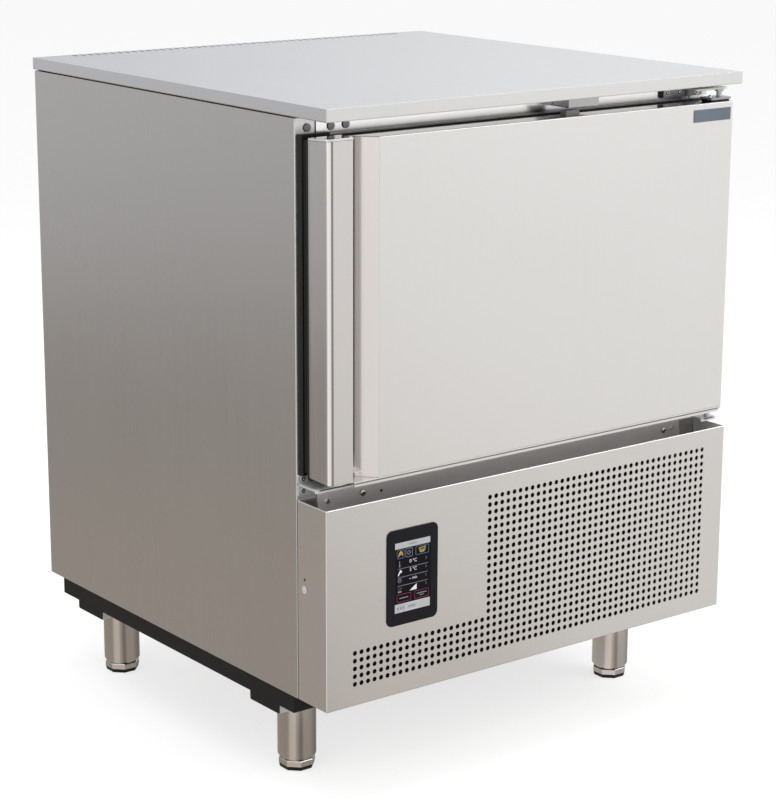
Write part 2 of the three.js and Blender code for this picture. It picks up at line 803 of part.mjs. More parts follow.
function probeSocket() {
  return turned([
    [0, 0],
    [SOCKET_R, 0],
    [SOCKET_R, SOCKET_T / 3],
    [SOCKET_R / 2, SOCKET_T],
    [0, SOCKET_T],
  ], 12).rotateY(-Math.PI / 2);
}

function addEvaporator() {
  const blade = baffleY + LINER + HUB_T / 3;
  const bar = baffleY + BAFFLE_RIB + GAP;
  const coilY = chamberBack - EVAP_BACK - EVAP_D;
  const span = 2 * (BAFFLE_RIB_X + LINER);
  const shaft = bar - blade - HUB_T / 4;
  add(cabinet, 'evaporator_baffle', evaporatorBaffle(), STEEL, 0, baffleY);
  add(cabinet, 'evaporator_fan_blade', fanBlade(), BLACK_PLASTIC, 0, blade, chamberMid);
  add(cabinet, 'evaporator_fan_motor', fanMotor(span, shaft), BLACK_PAINT, 0, bar, chamberMid);
  add(cabinet, 'evaporator_coil', evaporatorCoil(), FINS, -EVAP_W / 2, coilY, chamberLow + EVAP_UP);
  const socketY = guideEnd + SOCKET_R + SOCKET_CLEAR;
  add(cabinet, 'probe_socket', probeSocket(), GREY_PLASTIC, chamberX - GAP, socketY, chamberMid);
}

// ---------------------------------------------------------------- machine bay
function fanShroud() {
  const { width } = COND;
  const shell = block([0, 0, 0], [width, SHROUD_D, condH]);
  const room = block([SHEET, -SHEET, SHEET], [width - SHEET, SHROUD_D - SHEET, condH - SHEET]);
  const opening = rodBack(FAN_R + FAN_TIP, 0, SHROUD_D + SHEET, 24);
  return cut(shell, room, opening.translate(width / 2, 0, condH / 2));
}

function compressor() {
  const { r, foot, wall, dome, plate } = COMP;
  const body = turned([
    [0, foot],
    [r * 0.8, foot],
    [r, foot + dome / 3],
    [r, foot + wall],
    [r * 0.86, foot + wall + dome * 0.6],
    [r * 0.5, foot + wall + dome * 0.92],
    [0, foot + wall + dome],
  ], 16);
  const base = block([-plate / 2, -r * 0.75, 0], [plate / 2, r * 0.75, PLATE]);
  const neck = rod(r * 0.5, 0, foot + PLATE, 12);
  return join(body, base, neck);
}

function receiver() {
  const { r, height, dome } = RECEIVER;
  return turned([
    [0, 0],
    [r * 0.6, 0],
    [r, dome],
    [r, height - dome],
    [r * 0.6, height],
    [0, height],
  ], 14);
}

// An open-topped box; the electrical box has a cable mouth low in its back.
function openBox({ width, depth, height, wall }) {
  return cut(
    block([0, 0, 0], [width, depth, height]),
    block([wall, wall, wall], [width - wall, depth - wall, height + wall]),
  );
}

function electricalBox() {
  const { width, depth, height, wall, mouth } = EBOX;
  return cut(
    block([0, 0, 0], [width, depth, height]),
    block([wall, wall, wall], [width - wall, depth - wall, height - wall]),
    block([width - 2 * mouth, depth - 2 * wall, mouth], [width - mouth, depth + wall, 2 * mouth]),
  );
}

// A pipe along a smooth line through its points.
function pipe(points, steps) {
  const line = new THREE.CatmullRomCurve3(points.map((p) => new THREE.Vector3(...p)), false, 'centripetal');
  const ring = outline(arc(0, 0, PIPE_R, 0, 2 * Math.PI * (5 / 6), 5));
  return new THREE.ExtrudeGeometry(ring, { steps, extrudePath: line, bevelEnabled: false });
}

function addMachineBay() {
  const floor = cabBottom;
  const coil = finnedBlock(COND.width, COND.depth, condH);
  const condX = cabX - COND.right - COND.width;
  add(cabinet, 'condenser_coil', coil, FINS, condX, COND.front, floor);
  const shroudY = COND.front + COND.depth + GAP;
  add(cabinet, 'condenser_fan_shroud', fanShroud(), ZINC, condX, shroudY, floor);
  const fanX = condX + COND.width / 2;
  const fanZ = floor + condH / 2;
  const bar = shroudY + SHROUD_D + GAP;
  const blade = shroudY + HUB_T / 3;
  const shaft = bar - blade - HUB_T / 4;
  add(cabinet, 'condenser_fan_blade', fanBlade(), BLACK_PLASTIC, fanX, blade, fanZ);
  add(cabinet, 'condenser_fan_motor', fanMotor(COND.width, shaft), BLACK_PAINT, fanX, bar, fanZ);
  const compX = COMP.left - cabX;
  const compY = CAB_D - COMP.back;
  const receiverX = cabX - RECEIVER.right;
  const panX = cabX - PAN.right - PAN.width;
  const panY = CAB_D - PAN.back - PAN.depth;
  add(cabinet, 'compressor', compressor(), BLACK_PAINT, compX, compY, floor);
  add(cabinet, 'liquid_receiver', receiver(), BLACK_PAINT, receiverX, CAB_D - RECEIVER.back, floor);
  add(cabinet, 'electrical_box', electricalBox(), ZINC, EBOX.left - cabX, EBOX.front, floor);
  add(cabinet, 'condensate_tray', openBox(PAN), ZINC, panX, panY, floor);
  addPipes(floor, compX, compY, condX);
}

function addPipes(floor, compX, compY, condX) {
  const side = compX + COMP.r + GAP;
  const front = compY - COMP.r - GAP;
  const neckZ = floor + COMP.foot + COMP.wall - PIPE_R * 2;
  const coilY = chamberBack - EVAP_BACK - EVAP_D / 2;
  const coilZ = chamberLow + EVAP_UP - GAP;
  const suction = [
    [PIPE_X, coilY, coilZ],
    [PIPE_X, coilY, bayTop],
    [PIPE_X, coilY, bayTop - PIPE_DROP],
    [PIPE_X - PIPE_SWEEP, (coilY + compY) / 2, neckZ + PIPE_RISE],
    [side + PIPE_RUN, compY, neckZ],
    [side, compY, neckZ],
  ];
  add(cabinet, 'suction_pipe', pipe(suction, 20), COPPER);
  const entryY = COND.front + COND.depth / 2;
  const entryZ = floor + condH - PIPE_ENTRY;
  const inletX = condX - PIPE_RUN;
  const discharge = [
    [compX, front, neckZ],
    [compX, front - PIPE_RUN, neckZ],
    [inletX - PIPE_REACH, entryY + PIPE_SPREAD, entryZ],
    [inletX, entryY, entryZ],
    [condX - GAP, entryY, entryZ],
  ];
  add(cabinet, 'discharge_pipe', pipe(discharge, 18), COPPER);
}

// ---------------------------------------------------------------- front panel and display
function perforations() {
  const holes = [];
  const first = Math.floor(PERF_SKIP_COUNT / 2);
  const next = PERF_SKIP_COUNT + 1;
  for (let col = first; col < perfCols; col += next) {
    const rows = col < STRIP_COLS ? STRIP_ROWS : perfRows;
    for (let row = first; row < rows; row += next) {
      const x = -fasciaX + PERF_LEFT + col * PERF_PITCH;
      const z = PERF_LOW + row * PERF_PITCH;
      const hole = rodBack(PERF_R, -FASCIA_D - SHEET, -FASCIA_D + 2 * SHEET, PERF_SIDE_COUNT);
      holes.push(hole.translate(x, 0, z));
    }
  }
  return holes;
}

function fasciaPanel() {
  const path = [[-fasciaX, -GAP], [-fasciaX, -FASCIA_D], [fasciaX, -FASCIA_D], [fasciaX, -GAP]];
  const wrap = raised(folded(path, SHEET), 0, fasciaH);
  const back = -FASCIA_D + FASCIA_RETURN;
  const lip = block([-fasciaX + SHEET / 2, -FASCIA_D + SHEET / 2, 0], [fasciaX - SHEET / 2, back, SHEET]);
  const halfW = BEZEL_W / 2 - HOUSING_EDGE + GAP;
  const halfH = BEZEL_H / 2 - HOUSING_EDGE + GAP;
  const middle = bezelZ - fasciaLow;
  const window = block(
    [bezelX - halfW, -FASCIA_D - SHEET, middle - halfH],
    [bezelX + halfW, -FASCIA_D + 2 * SHEET, middle + halfH],
  );
  const capHole = rod(CAP_STEM_R + GAP, -2 * SHEET, 2 * SHEET, 8).rotateY(Math.PI / 2);
  capHole.translate(-fasciaX, -CAP_BACK, CAP_UP);
  return cut(join(wrap, lip), window, capHole, ...perforations());
}

function displayBezel() {
  const outer = roundedRect(-BEZEL_W / 2, -BEZEL_H / 2, BEZEL_W / 2, BEZEL_H / 2, BEZEL_R);
  const shift = screenZ - bezelZ;
  const inner = rect(
    -SCREEN_W / 2 - GAP,
    shift - SCREEN_H / 2 - GAP,
    SCREEN_W / 2 + GAP,
    shift + SCREEN_H / 2 + GAP,
  );
  return runBack(withHole(outer, inner), -BEZEL_T, 0);
}

function controllerHousing() {
  const halfW = BEZEL_W / 2 - HOUSING_EDGE;
  const halfH = BEZEL_H / 2 - HOUSING_EDGE;
  return block([-halfW, 0, -halfH], [halfW, HOUSING_D, halfH]);
}

function sideCap() {
  return turned([
    [0, -CAP_HEAD],
    [CAP_R, -CAP_HEAD],
    [CAP_R, 0],
    [CAP_STEM_R, 0],
    [CAP_STEM_R, CAP_STEM],
    [0, CAP_STEM],
  ], 10).rotateY(Math.PI / 2);
}

function addFrontPanel() {
  const front = -FASCIA_D - GAP;
  add(cabinet, 'fascia_panel', fasciaPanel(), STEEL, 0, 0, fasciaLow);
  add(cabinet, 'display_bezel', displayBezel(), BLACK_PLASTIC, bezelX, front, bezelZ);
  const screen = block([-SCREEN_W / 2, -SCREEN_T, -SCREEN_H / 2], [SCREEN_W / 2, 0, SCREEN_H / 2]);
  add(cabinet, 'display_screen', screen, BLACK_GLASS, bezelX, front, screenZ);
  add(cabinet, 'controller_housing', controllerHousing(), GREY_PLASTIC, bezelX, -FASCIA_D, bezelZ);
  add(cabinet, 'side_cap', sideCap(), WHITE_PLASTIC, -fasciaX - GAP, -CAP_BACK, fasciaLow + CAP_UP);
}

// ---------------------------------------------------------------- door
function doorSkin() {
  const left = -doorX + HANDLE_T + GAP;
  const path = [
    [left, gripBack],
    [gripBackX, gripBack],
    [gripFrontX, doorFront],
    [doorX, doorFront],
    [doorX, doorBack],
  ];
  return raised(folded(path, SHEET), skinLow, skinHigh);
}

// The handle's left face, from the back, and its rounded front left corner.
function handleNose() {
  const r = HANDLE_NOSE_R;
  const lean = Math.atan2(HANDLE_SLANT, DOOR_T - HANDLE_BACK);
  const inward = HANDLE_SLANT + r * Math.tan(Math.PI / 4 - lean / 2);
  return [
    [-doorX, doorBack],
    [-doorX, doorBack - HANDLE_BACK],
    ...arc(-doorX + inward, doorFront + r, r, Math.PI + lean, 1.5 * Math.PI, 4),
  ];
}

function doorHandle() {
  const path = [
    ...handleNose(),
    [handleRight, doorFront],
    [handleRight, doorFront + HANDLE_LIP],
  ];
  return raised(folded(path, HANDLE_T), skinLow, skinHigh);
}

function hingeBore(low, high) {
  return rod(PIN_R + PIN_PLAY, low, high, 12).translate(hingeX, hingeY, 0);
}

function doorTopCap() {
  const shape = outline([
    ...handleNose(),
    [handleRight, doorFront],
    [handleRight, gripBack],
    [gripBackX, gripBack],
    [gripFrontX, doorFront],
    [doorX, doorFront],
    [doorX, doorBack],
  ]);
  return cut(raised(shape, doorH - CAP_TOP, doorH), hingeBore(doorH - 2 * CAP_TOP, doorH + CAP_TOP));
}

function doorBottomCap() {
  const left = -doorX + HANDLE_T + GAP;
  const shape = outline([
    [handleRight + HANDLE_T, doorFront],
    [doorX, doorFront],
    [doorX, doorBack],
    [left, doorBack],
    [left, gripBack],
    [handleRight + HANDLE_T, gripBack],
  ]);
  const lip = block([handleRight + HANDLE_T, doorFront, -CAP_LIP], [doorX, doorFront + SHEET, CAP_LOW]);
  return join(cut(raised(shape, 0, CAP_LOW), hingeBore(-CAP_LOW, 2 * CAP_LOW)), lip);
}

// Foam inside the door, clear of the finger recess.
function doorInsulation() {
  const front = doorFront + SHEET + GAP;
  const back = doorBack - SHEET - GAP;
  const clear = 2 * (SHEET + GAP);
  const shape = outline([
    [gripFrontX + clear, front],
    [doorX - SHEET - GAP, front],
    [doorX - SHEET - GAP, back],
    [gripBackX + clear, back],
    [gripBackX + clear, gripBack],
  ]);
  return raised(shape, skinLow, skinHigh);
}

function doorLiner() {
  const left = -doorX + HANDLE_T + GAP;
  return block([left, doorBack - SHEET, skinLow], [doorX - SHEET - GAP, doorBack, skinHigh]);
}

// A flat ring whose edges are set in from the door's left, right, lower and upper edge.
function doorRing([left, right, low, high], width, front, back) {
  const x0 = left - doorX;
  const x1 = doorX - right;
  const top = doorH - high;
  const outer = rect(x0, low, x1, top);
  const inner = rect(x0 + width, low + width, x1 - width, top - width);
  return runBack(withHole(outer, inner), front, back);
}

function doorPlate(low, high) {
  const right = doorX - SHEET;
  const plate = block([right - DOOR_PLATE_W, doorFront + PLATE, low], [right, doorBack, high]);
  return cut(plate, hingeBore(low - PLATE, high + PLATE));
}

function addDoor() {
  add(door, 'door_skin', doorSkin(), PALE_STEEL);
  add(door, 'door_handle', doorHandle(), STEEL);
  add(door, 'door_top_cap', doorTopCap(), STEEL);
  add(door, 'door_bottom_cap', doorBottomCap(), PALE_STEEL);
  add(door, 'door_insulation', doorInsulation(), FOAM);
  add(door, 'door_liner', doorLiner(), STEEL);
  const frameIn = [FRAME_LEFT, FRAME_RIGHT, FRAME_LOW, FRAME_HIGH];
  const frame = doorRing(frameIn, FRAME_W, frameFront, frameFront + FRAME_T);
  add(door, 'door_inner_frame', frame, BLACK_PLASTIC);
  const sealIn = [GASKET_LEFT, GASKET_RIGHT, GASKET_LOW, GASKET_HIGH];
  const seal = doorRing(sealIn, GASKET_W, gasketFront, gasketFront + GASKET_T);
  add(door, 'door_gasket', seal, RUBBER);
  const plateTop = doorH + GAP + DOOR_PLATE_T;
  add(door, 'upper_door_plate', doorPlate(doorH + GAP, plateTop), ZINC);
  add(door, 'lower_door_plate', doorPlate(-GAP - DOOR_PLATE_T, -GAP), ZINC);
  const magnet = block([0, 0, 0], [MAGNET.width, MAGNET.depth, MAGNET.height]);
  add(door, 'door_magnet', magnet, GREY_PLASTIC, MAGNET.x, doorBack - MAGNET.depth, doorH + GAP);
  const badge = block([0, -BADGE.thick, 0], [BADGE.width, 0, BADGE.height]);
  const badgeX = doorX - BADGE.right - BADGE.width;
  const badgeZ = doorH - BADGE.down - BADGE.height;
  add(door, 'badge_plate', badge, BADGE_GREY, badgeX, doorFront - GAP, badgeZ);
}

// ---------------------------------------------------------------- hinges and switch
// A lower bracket: an arm plate with a front lip and an upright flange on the side panel.
function lowerBracket(side, low, width, front, lugDown) {
  const edge = side * (cabX - SHEET);
  const top = low + PLATE;
  const lugLow = low - lugDown;
  const arm = block([edge - side * width, front, low], [edge, -GAP, top]);
  const lip = block([edge - side * width, front, top - ARM_LIP], [edge, front + PLATE, top]);
  const lug = block([edge - side * LUG_W, -GAP - PLATE, lugLow], [edge, -GAP, lugLow + LUG_H]);
  return join(arm, lip, lug);
}

function addHinges() {
  const plateLow = doorLow - GAP - DOOR_PLATE_T;
  const armLow = plateLow - GAP - LOW_ARM_GAP - PLATE;
  const armFront = hingeY - ARM_REACH;
  const washerTop = plateLow - GAP;
  const pinLow = rod(PIN_R, armLow + PLATE / 2, doorLow + CAP_LOW, 12).translate(hingeX, hingeY, 0);
  const washer = rod(WASHER_R, washerTop - WASHER_T, washerTop, 12).translate(hingeX, hingeY, 0);
  const arm = lowerBracket(1, armLow, LOW_ARM_W, armFront, LUG_DOWN);
  add(cabinet, 'lower_hinge_bracket', join(arm, washer, pinLow), ZINC);
  const spareLow = doorLow - SPARE_GAP - PLATE;
  const spare = lowerBracket(-1, spareLow, SPARE_W, -SPARE_REACH, SPARE_LUG_DOWN);
  add(cabinet, 'lower_left_bracket', spare, ZINC);

  const highPlate = doorTop + GAP + DOOR_PLATE_T;
  const highArm = highPlate + HIGH_ARM_GAP;
  const edge = cabX - SHEET;
  const lugLow = Math.max(highArm - HIGH_LUG_DOWN, chamberHigh + BREAKER_HIGH + GAP);
  const plate = block([edge - HIGH_ARM_W, armFront, highArm], [edge, -GAP, highArm + PLATE]);
  const lug = block([edge - HIGH_LUG_W, -GAP - PLATE, lugLow], [edge, -GAP, highArm + PLATE]);
  const pinHigh = rod(PIN_R, doorTop - CAP_TOP, highArm + PLATE / 2, 12).translate(hingeX, hingeY, 0);
  add(cabinet, 'upper_hinge_bracket', join(plate, lug, pinHigh), ZINC);
}

function addSwitch() {
  const low = chamberHigh + BREAKER_HIGH + SWITCH.above;
  const body = block([0, -SWITCH.depth, 0], [SWITCH.width, 0, SWITCH.height]);
  add(cabinet, 'door_switch', body, GREY_PLASTIC, SWITCH.x, -GAP, low);
}

// ---------------------------------------------------------------- assembly
addLegs();
addBase();
addSkins();
addChamber();
addEvaporator();
addMachineBay();
addFrontPanel();
addDoor();
addHinges();
addSwitch();

export default machine;
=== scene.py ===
from math import atan2, cos, pi, radians, sin, tan

import bmesh
import bpy
from mathutils import Matrix, Vector
from mathutils.geometry import delaunay_2d_cdt


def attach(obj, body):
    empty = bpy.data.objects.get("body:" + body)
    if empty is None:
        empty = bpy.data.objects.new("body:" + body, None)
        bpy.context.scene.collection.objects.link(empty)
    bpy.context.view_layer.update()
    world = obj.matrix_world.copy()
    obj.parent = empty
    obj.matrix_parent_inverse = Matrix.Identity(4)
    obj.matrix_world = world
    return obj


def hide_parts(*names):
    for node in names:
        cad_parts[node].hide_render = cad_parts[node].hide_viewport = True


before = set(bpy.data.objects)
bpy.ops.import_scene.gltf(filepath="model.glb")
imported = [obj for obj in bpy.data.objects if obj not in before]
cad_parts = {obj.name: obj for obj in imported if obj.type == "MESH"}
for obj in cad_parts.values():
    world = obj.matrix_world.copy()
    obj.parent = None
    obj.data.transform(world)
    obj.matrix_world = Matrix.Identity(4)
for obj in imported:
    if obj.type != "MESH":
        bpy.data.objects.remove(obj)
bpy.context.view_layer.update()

TAU = 2 * pi

# Shapes are drawn in mm: x from the middle, y back from the cabinet's front face, z up.
FACE = -328.5  # the cabinet's front face in the frame
T = 1.2  # sheet
BASE, UNDER_TOP = 160, 1016  # lower and upper edge of the side and back panels
BACK = 732.5  # outer face of the back panel
LEG_X, LEG_ROWS = 326, (("front", 106), ("rear", 625.3))
DOOR_X, DOOR_FRONT, DOOR_REAR = 397.5, -62.9, -31.8  # half the door's width, its two faces
DOOR_LEDGE, GRIP_X = -34.9, -342.5  # the finger recess's floor, the grip's inner edge
LOW, HIGH = 496.8, 989  # lower and upper edge of the door's skin
PIN = (385.5, -43)  # the hinge line, in x and y
UP, DOWN, AHEAD, BEHIND, LEFT = (0, 0, 1), (0, 0, -1), (0, -1, 0), (0, 1, 0), (-1, 0, 0)
OPEN = (False, False)  # no faces at a loft's ends


def at(x, y, z):
    """A place in the frame, in metres."""
    return Vector((x, y + FACE, z)) / 1000


def linked(name, data):
    obj = bpy.data.objects.new(name, data)
    bpy.context.scene.collection.objects.link(obj)
    return obj


# ---- outlines
def arc(x, y, r, a0, a1, steps):
    turns = [a0 + (a1 - a0) * i / steps for i in range(steps + 1)]
    return [(x + r * cos(a), y + r * sin(a)) for a in turns]


def circle(x, y, r, sides, turn=0):
    return arc(x, y, r, turn, turn + TAU, sides)[:-1]


def rect(x0, y0, x1, y1):
    x0, x1 = sorted((x0, x1))
    return [(x0, y0), (x1, y0), (x1, y1), (x0, y1)]


def rounded(x0, y0, x1, y1, r, steps=4):
    x0, x1 = sorted((x0, x1))
    r, q = max(r, 0.02), pi / 2
    middles = ((x1 - r, y0 + r), (x1 - r, y1 - r), (x0 + r, y1 - r), (x0 + r, y0 + r))
    return [p for k, m in enumerate(middles) for p in arc(*m, r, q * (k - 1), q * k, steps)]


def quarter(r, steps, level, way=1):
    """(inset, level) pairs that round an edge, from its flat face out to its side."""
    turns = [pi / 2 * k / steps for k in range(steps + 1)]
    return [(r * (1 - sin(a)), level + way * r * (1 - cos(a))) for a in turns]


def area(points):
    pairs = zip(points, points[1:] + points[:1])
    return sum(a[0] * b[1] - b[0] * a[1] for a, b in pairs) / 2


def inset(points, d):
    """A closed outline moved in by d, with mitred corners."""
    if area(points) < 0:
        d = -d
    out = []
    for i, p in enumerate(points):
        a, p, b = Vector(points[i - 1]), Vector(p), Vector(points[(i + 1) % len(points)])
        u, v = (p - a).normalized(), (b - p).normalized()
        nu, nv = Vector((-u.y, u.x)), Vector((-v.y, v.x))
        out.append(tuple(p + (nu + nv) * (d / max(1 + nu.dot(nv), 0.3))))
    return out


def inside(p, points):
    hit = False
    for (x0, y0), (x1, y1) in zip(points, points[1:] + points[:1]):
        if (y0 > p[1]) != (y1 > p[1]) and p[0] < (x1 - x0) * (p[1] - y0) / (y1 - y0) + x0:
            hit = not hit
    return hit


def filled(outer, holes):
    """Triangles that fill an outline round convex holes."""
    points, edges, ring = [], [], []
    for k, loop in enumerate([outer, *holes]):
        n = len(points)
        points += [Vector(p) for p in loop]
        edges += [(n + i, n + (i + 1) % len(loop)) for i in range(len(loop))]
        ring += [k] * len(loop)
    out, _, faces, origin, _, _ = delaunay_2d_cdt(points, edges, [], 0, 1e-6)
    ids = [ring[o[0]] if o else -1 for o in origin]
    keep = []
    for face in faces:
        kinds = {ids[i] for i in face}
        if len(kinds) == 1:
            middle = sum((out[i] for i in face), Vector((0, 0))) / len(face)
            if kinds.pop() > 0 or not inside(middle, outer):
                continue
        keep.append(tuple(face))
    return [tuple(p) for p in out], keep


def fold(path, t, r, steps):
    """Pairs of points on the two faces of a folded sheet."""
    pts = [Vector(p) for p in path]
    dirs = [(b - a).normalized() for a, b in zip(pts, pts[1:])]
    left = [Vector((-d.y, d.x)) for d in dirs]
    nodes = [(tuple(pts[0]), tuple(pts[0] + left[0] * t))]
    for i in range(1, len(pts) - 1):
        u, v = dirs[i - 1], dirs[i]
        cross = u.x * v.y - u.y * v.x
        angle = atan2(abs(cross), u.dot(v))
        own = r[i - 1] if isinstance(r, tuple) else r
        side = 1 if cross > 0 else -1
        radius = own if cross > 0 else max(own - t, 0.2)
        other = max(radius - t, 0.05) if cross > 0 else radius + t
        centre = pts[i] - u * (radius * tan(angle / 2)) + left[i - 1] * side * radius
        first = -left[i - 1] * side
        for k in range(steps + 1):
            a = side * angle * k / steps
            c, s = cos(a), sin(a)
            w = Vector((first.x * c - first.y * s, first.x * s + first.y * c))
            nodes.append((tuple(centre + w * radius), tuple(centre + w * other)))
    nodes.append((tuple(pts[-1]), tuple(pts[-1] + left[-1] * t)))
    return nodes


def rim(corners, closed, r, steps, d):
    """An outline with round corners, moved in by d to its left."""
    pts = [Vector(c) for c in corners]
    n = len(pts)
    out = []
    for i, p in enumerate(pts):
        if not closed and i in (0, n - 1):
            u = (pts[1] - p if i == 0 else p - pts[-2]).normalized()
            out.append(tuple(p + Vector((-u.y, u.x)) * d))
            continue
        u, v = (p - pts[i - 1]).normalized(), (pts[(i + 1) % n] - p).normalized()
        nu, nv = Vector((-u.y, u.x)), Vector((-v.y, v.x))
        if d < r - 0.01:
            centre = p - u * r + nu * r
            for a in [pi / 2 * k / steps for k in range(steps + 1)]:
                out.append(tuple(centre + (-nu * cos(a) + u * sin(a)) * (r - d)))
        else:
            out += [tuple(p + (nu + nv) * d)] * (steps + 1)
    return out


# ---- faces and pieces
AXES = {
    "z": lambda u, v, w: (u, v, w),  # outline in x and y
    "y": lambda u, v, w: (u, w, v),  # outline in x and z
    "x": lambda u, v, w: (w, u, v),  # outline in y and z
}


class Shell:
    """Faces gathered for one piece, in mm."""

    def __init__(self):
        self.v, self.f, self.m = [], [], []

    def add(self, verts, faces, mat=0):
        n = len(self.v)
        self.v += [tuple(p) for p in verts]
        self.f += [tuple(n + i for i in f) for f in faces]
        self.m += [mat] * len(faces)
        return self

    def loft(self, loops, ring=True, ends=(True, True), mat=0, skip=()):
        """Quads between loops of equal length; ring closes each loop."""
        size = len(loops[0])
        verts = [p for loop in loops for p in loop]
        faces = []
        for i in range(len(loops) - 1):
            for j in range(size if ring else size - 1):
                if (i, j) not in skip:
                    a, b, k = i * size, (i + 1) * size, (j + 1) % size
                    faces.append((a + j, a + k, b + k, b + j))
        if ends[0]:
            faces.append(tuple(range(size)))
        if ends[1]:
            faces.append(tuple((len(loops) - 1) * size + i for i in reversed(range(size))))
        return self.add(verts, faces, mat)

    def swept(self, outline, profile, axis="z", ends=OPEN, mat=0):
        """outline(d) at level w for each (d, w) of the profile, joined up."""
        to = AXES[axis]
        loops = [[to(*p, w) for p in outline(d)] for d, w in profile]
        return self.loft(loops, ends=ends, mat=mat)

    def walls(self, loop, a, b, axis="z", mat=0):
        """The open sides of an outline between two levels."""
        return self.swept(lambda d: loop, ((0, a), (0, b)), axis, mat=mat)

    def cover(self, outer, holes, level, axis="z", mat=0):
        """A flat face round convex holes."""
        points, faces = filled(outer, holes)
        return self.add([AXES[axis](*p, level) for p in points], faces, mat)

    def slab(self, outer, low, high, axis="z", holes=(), edge=0, steps=2, mat=0):
        """An outline with convex holes, given depth, with rounded edges."""
        low, high = sorted((low, high))
        rings = quarter(edge, steps, low) if edge else [(0, low)]
        rings += [(d, low + high - w) for d, w in reversed(rings)]
        moved = lambda d: inset(outer, d) if d else outer
        self.swept(moved, rings, axis, OPEN if holes else (True, True), mat)
        if holes:
            for w in (low, high):
                self.cover(moved(edge), holes, w, axis, mat)
        for hole in holes:
            self.walls(hole, low, high, axis, mat)
        return self

    def box(self, a, b, edge=0.6, mat=0):
        lo, hi = zip(*(sorted(pair) for pair in zip(a, b)))
        edge = min([edge] + [(q - p) * 0.45 for p, q in zip(lo, hi)])
        outer = rounded(*lo[:2], *hi[:2], edge, 2)
        return self.slab(outer, lo[2], hi[2], edge=edge * 0.9, mat=mat)

    def tube(self, points, r, sides, ends=True):
        """A round bar along a line of points."""
        pts = [Vector(p) for p in points]
        loops, up = [], None
        for i, p in enumerate(pts):
            d = (pts[min(i + 1, len(pts) - 1)] - pts[max(i - 1, 0)]).normalized()
            up = up or d.orthogonal().normalized()
            up = (up - d * up.dot(d)).normalized()
            side = d.cross(up)
            loops.append([tuple(p + r * (cos(a) * up + sin(a) * side))
                          for a in [TAU * k / sides for k in range(sides)]])
        return self.loft(loops, ends=(ends, ends))

    def sheet(self, path, low, high, t=T, r=2, axis="z", steps=5):
        """A folded sheet: path in the outline plane, thickness to its left, from low to high."""
        to = AXES[axis]
        nodes = fold(path, t, r, steps)
        starts = [low(*p) if callable(low) else low for p, _ in nodes]
        near, far = ([[to(*pair[k], w) for pair, w in zip(nodes, starts)],
                      [to(*pair[k], high) for pair in nodes]] for k in (0, 1))
        self.loft([near[0], near[1], far[1], far[0], near[0]], ring=False, ends=OPEN)
        for end in (0, -1):
            self.add([near[0][end], near[1][end], far[1][end], far[0][end]], [(0, 1, 2, 3)])
        return self


def mesh_of(name, shell, angle):
    """Welds the faces, turns them outward and marks edges sharper than the angle."""
    bm = bmesh.new()
    made = [bm.verts.new(at(*p)) for p in shell.v]
    for f, m in zip(shell.f, shell.m):
        bm.faces.new([made[i] for i in f]).material_index = m
    bmesh.ops.remove_doubles(bm, verts=bm.verts, dist=4e-7)
    bmesh.ops.dissolve_degenerate(bm, edges=bm.edges, dist=1e-7)
    bmesh.ops.delete(bm, geom=[v for v in bm.verts if not v.link_faces], context="VERTS")
    bmesh.ops.recalc_face_normals(bm, faces=bm.faces)
    for f in bm.faces:
        f.smooth = True
    for e in bm.edges:
        if len(e.link_faces) != 2 or e.calc_face_angle(0) > radians(angle):
            e.smooth = False
    mesh = bpy.data.meshes.new(name)
    bm.to_mesh(mesh)
    bm.free()
    return mesh


def piece(name, shell, mats, slot, replaces=None, body="cabinet", angle=33):
    mesh = mesh_of(name, shell, angle)
    for mat in mats if isinstance(mats, list) else [mats]:
        mesh.materials.append(mat)
    obj = linked(name, mesh)
    obj.modifiers.new("even", "WEIGHTED_NORMAL").keep_sharp = True
    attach(obj, body)
    if replaces:
        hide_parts(replaces)
    return obj


def paint(obj, index, chosen):
    """Gives a piece's chosen faces another of its materials."""
    for face in obj.data.polygons:
        if chosen(face):
            face.material_index = index


def dress(mat, *names, edge=0):
    """Gives kept CAD nodes their material, and rounds their edges a little."""
    for name in names:
        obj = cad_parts[name]
        if not obj.material_slots:
            obj.data.materials.append(mat)
        for s in obj.material_slots:
            s.material = mat
        if edge:
            soft = obj.modifiers.new("soft", "BEVEL")
            soft.width, soft.segments, soft.limit_method = edge / 1000, 2, "ANGLE"
            soft.angle_limit = radians(40)
            soft.harden_normals = False


# ---- camera
def make_camera():
    """The camera as fitted to the photo."""
    data = bpy.data.cameras.new("camera")
    data.lens, data.sensor_width, data.sensor_fit = 104.62, 36, "AUTO"
    data.clip_start, data.clip_end = 0.1, 60
    camera = linked("camera", data)
    az, el, roll = (radians(a) for a in (-37.40438, 14.39321, 0.22785))
    back = Vector((sin(az) * cos(el), -cos(az) * cos(el), sin(el)))
    right = Vector(UP).cross(back).normalized()
    up = back.cross(right)
    tilted = (right * cos(roll) + up * sin(roll),
              up * cos(roll) - right * sin(roll), back)
    place = Matrix(tilted).transposed().to_4x4()
    place.translation = at(-2243.7, -2629.5, 1438.7)
    camera.matrix_world = place
    bpy.context.scene.camera = camera


make_camera()
view = bpy.context.scene.view_settings
view.view_transform = "Standard"


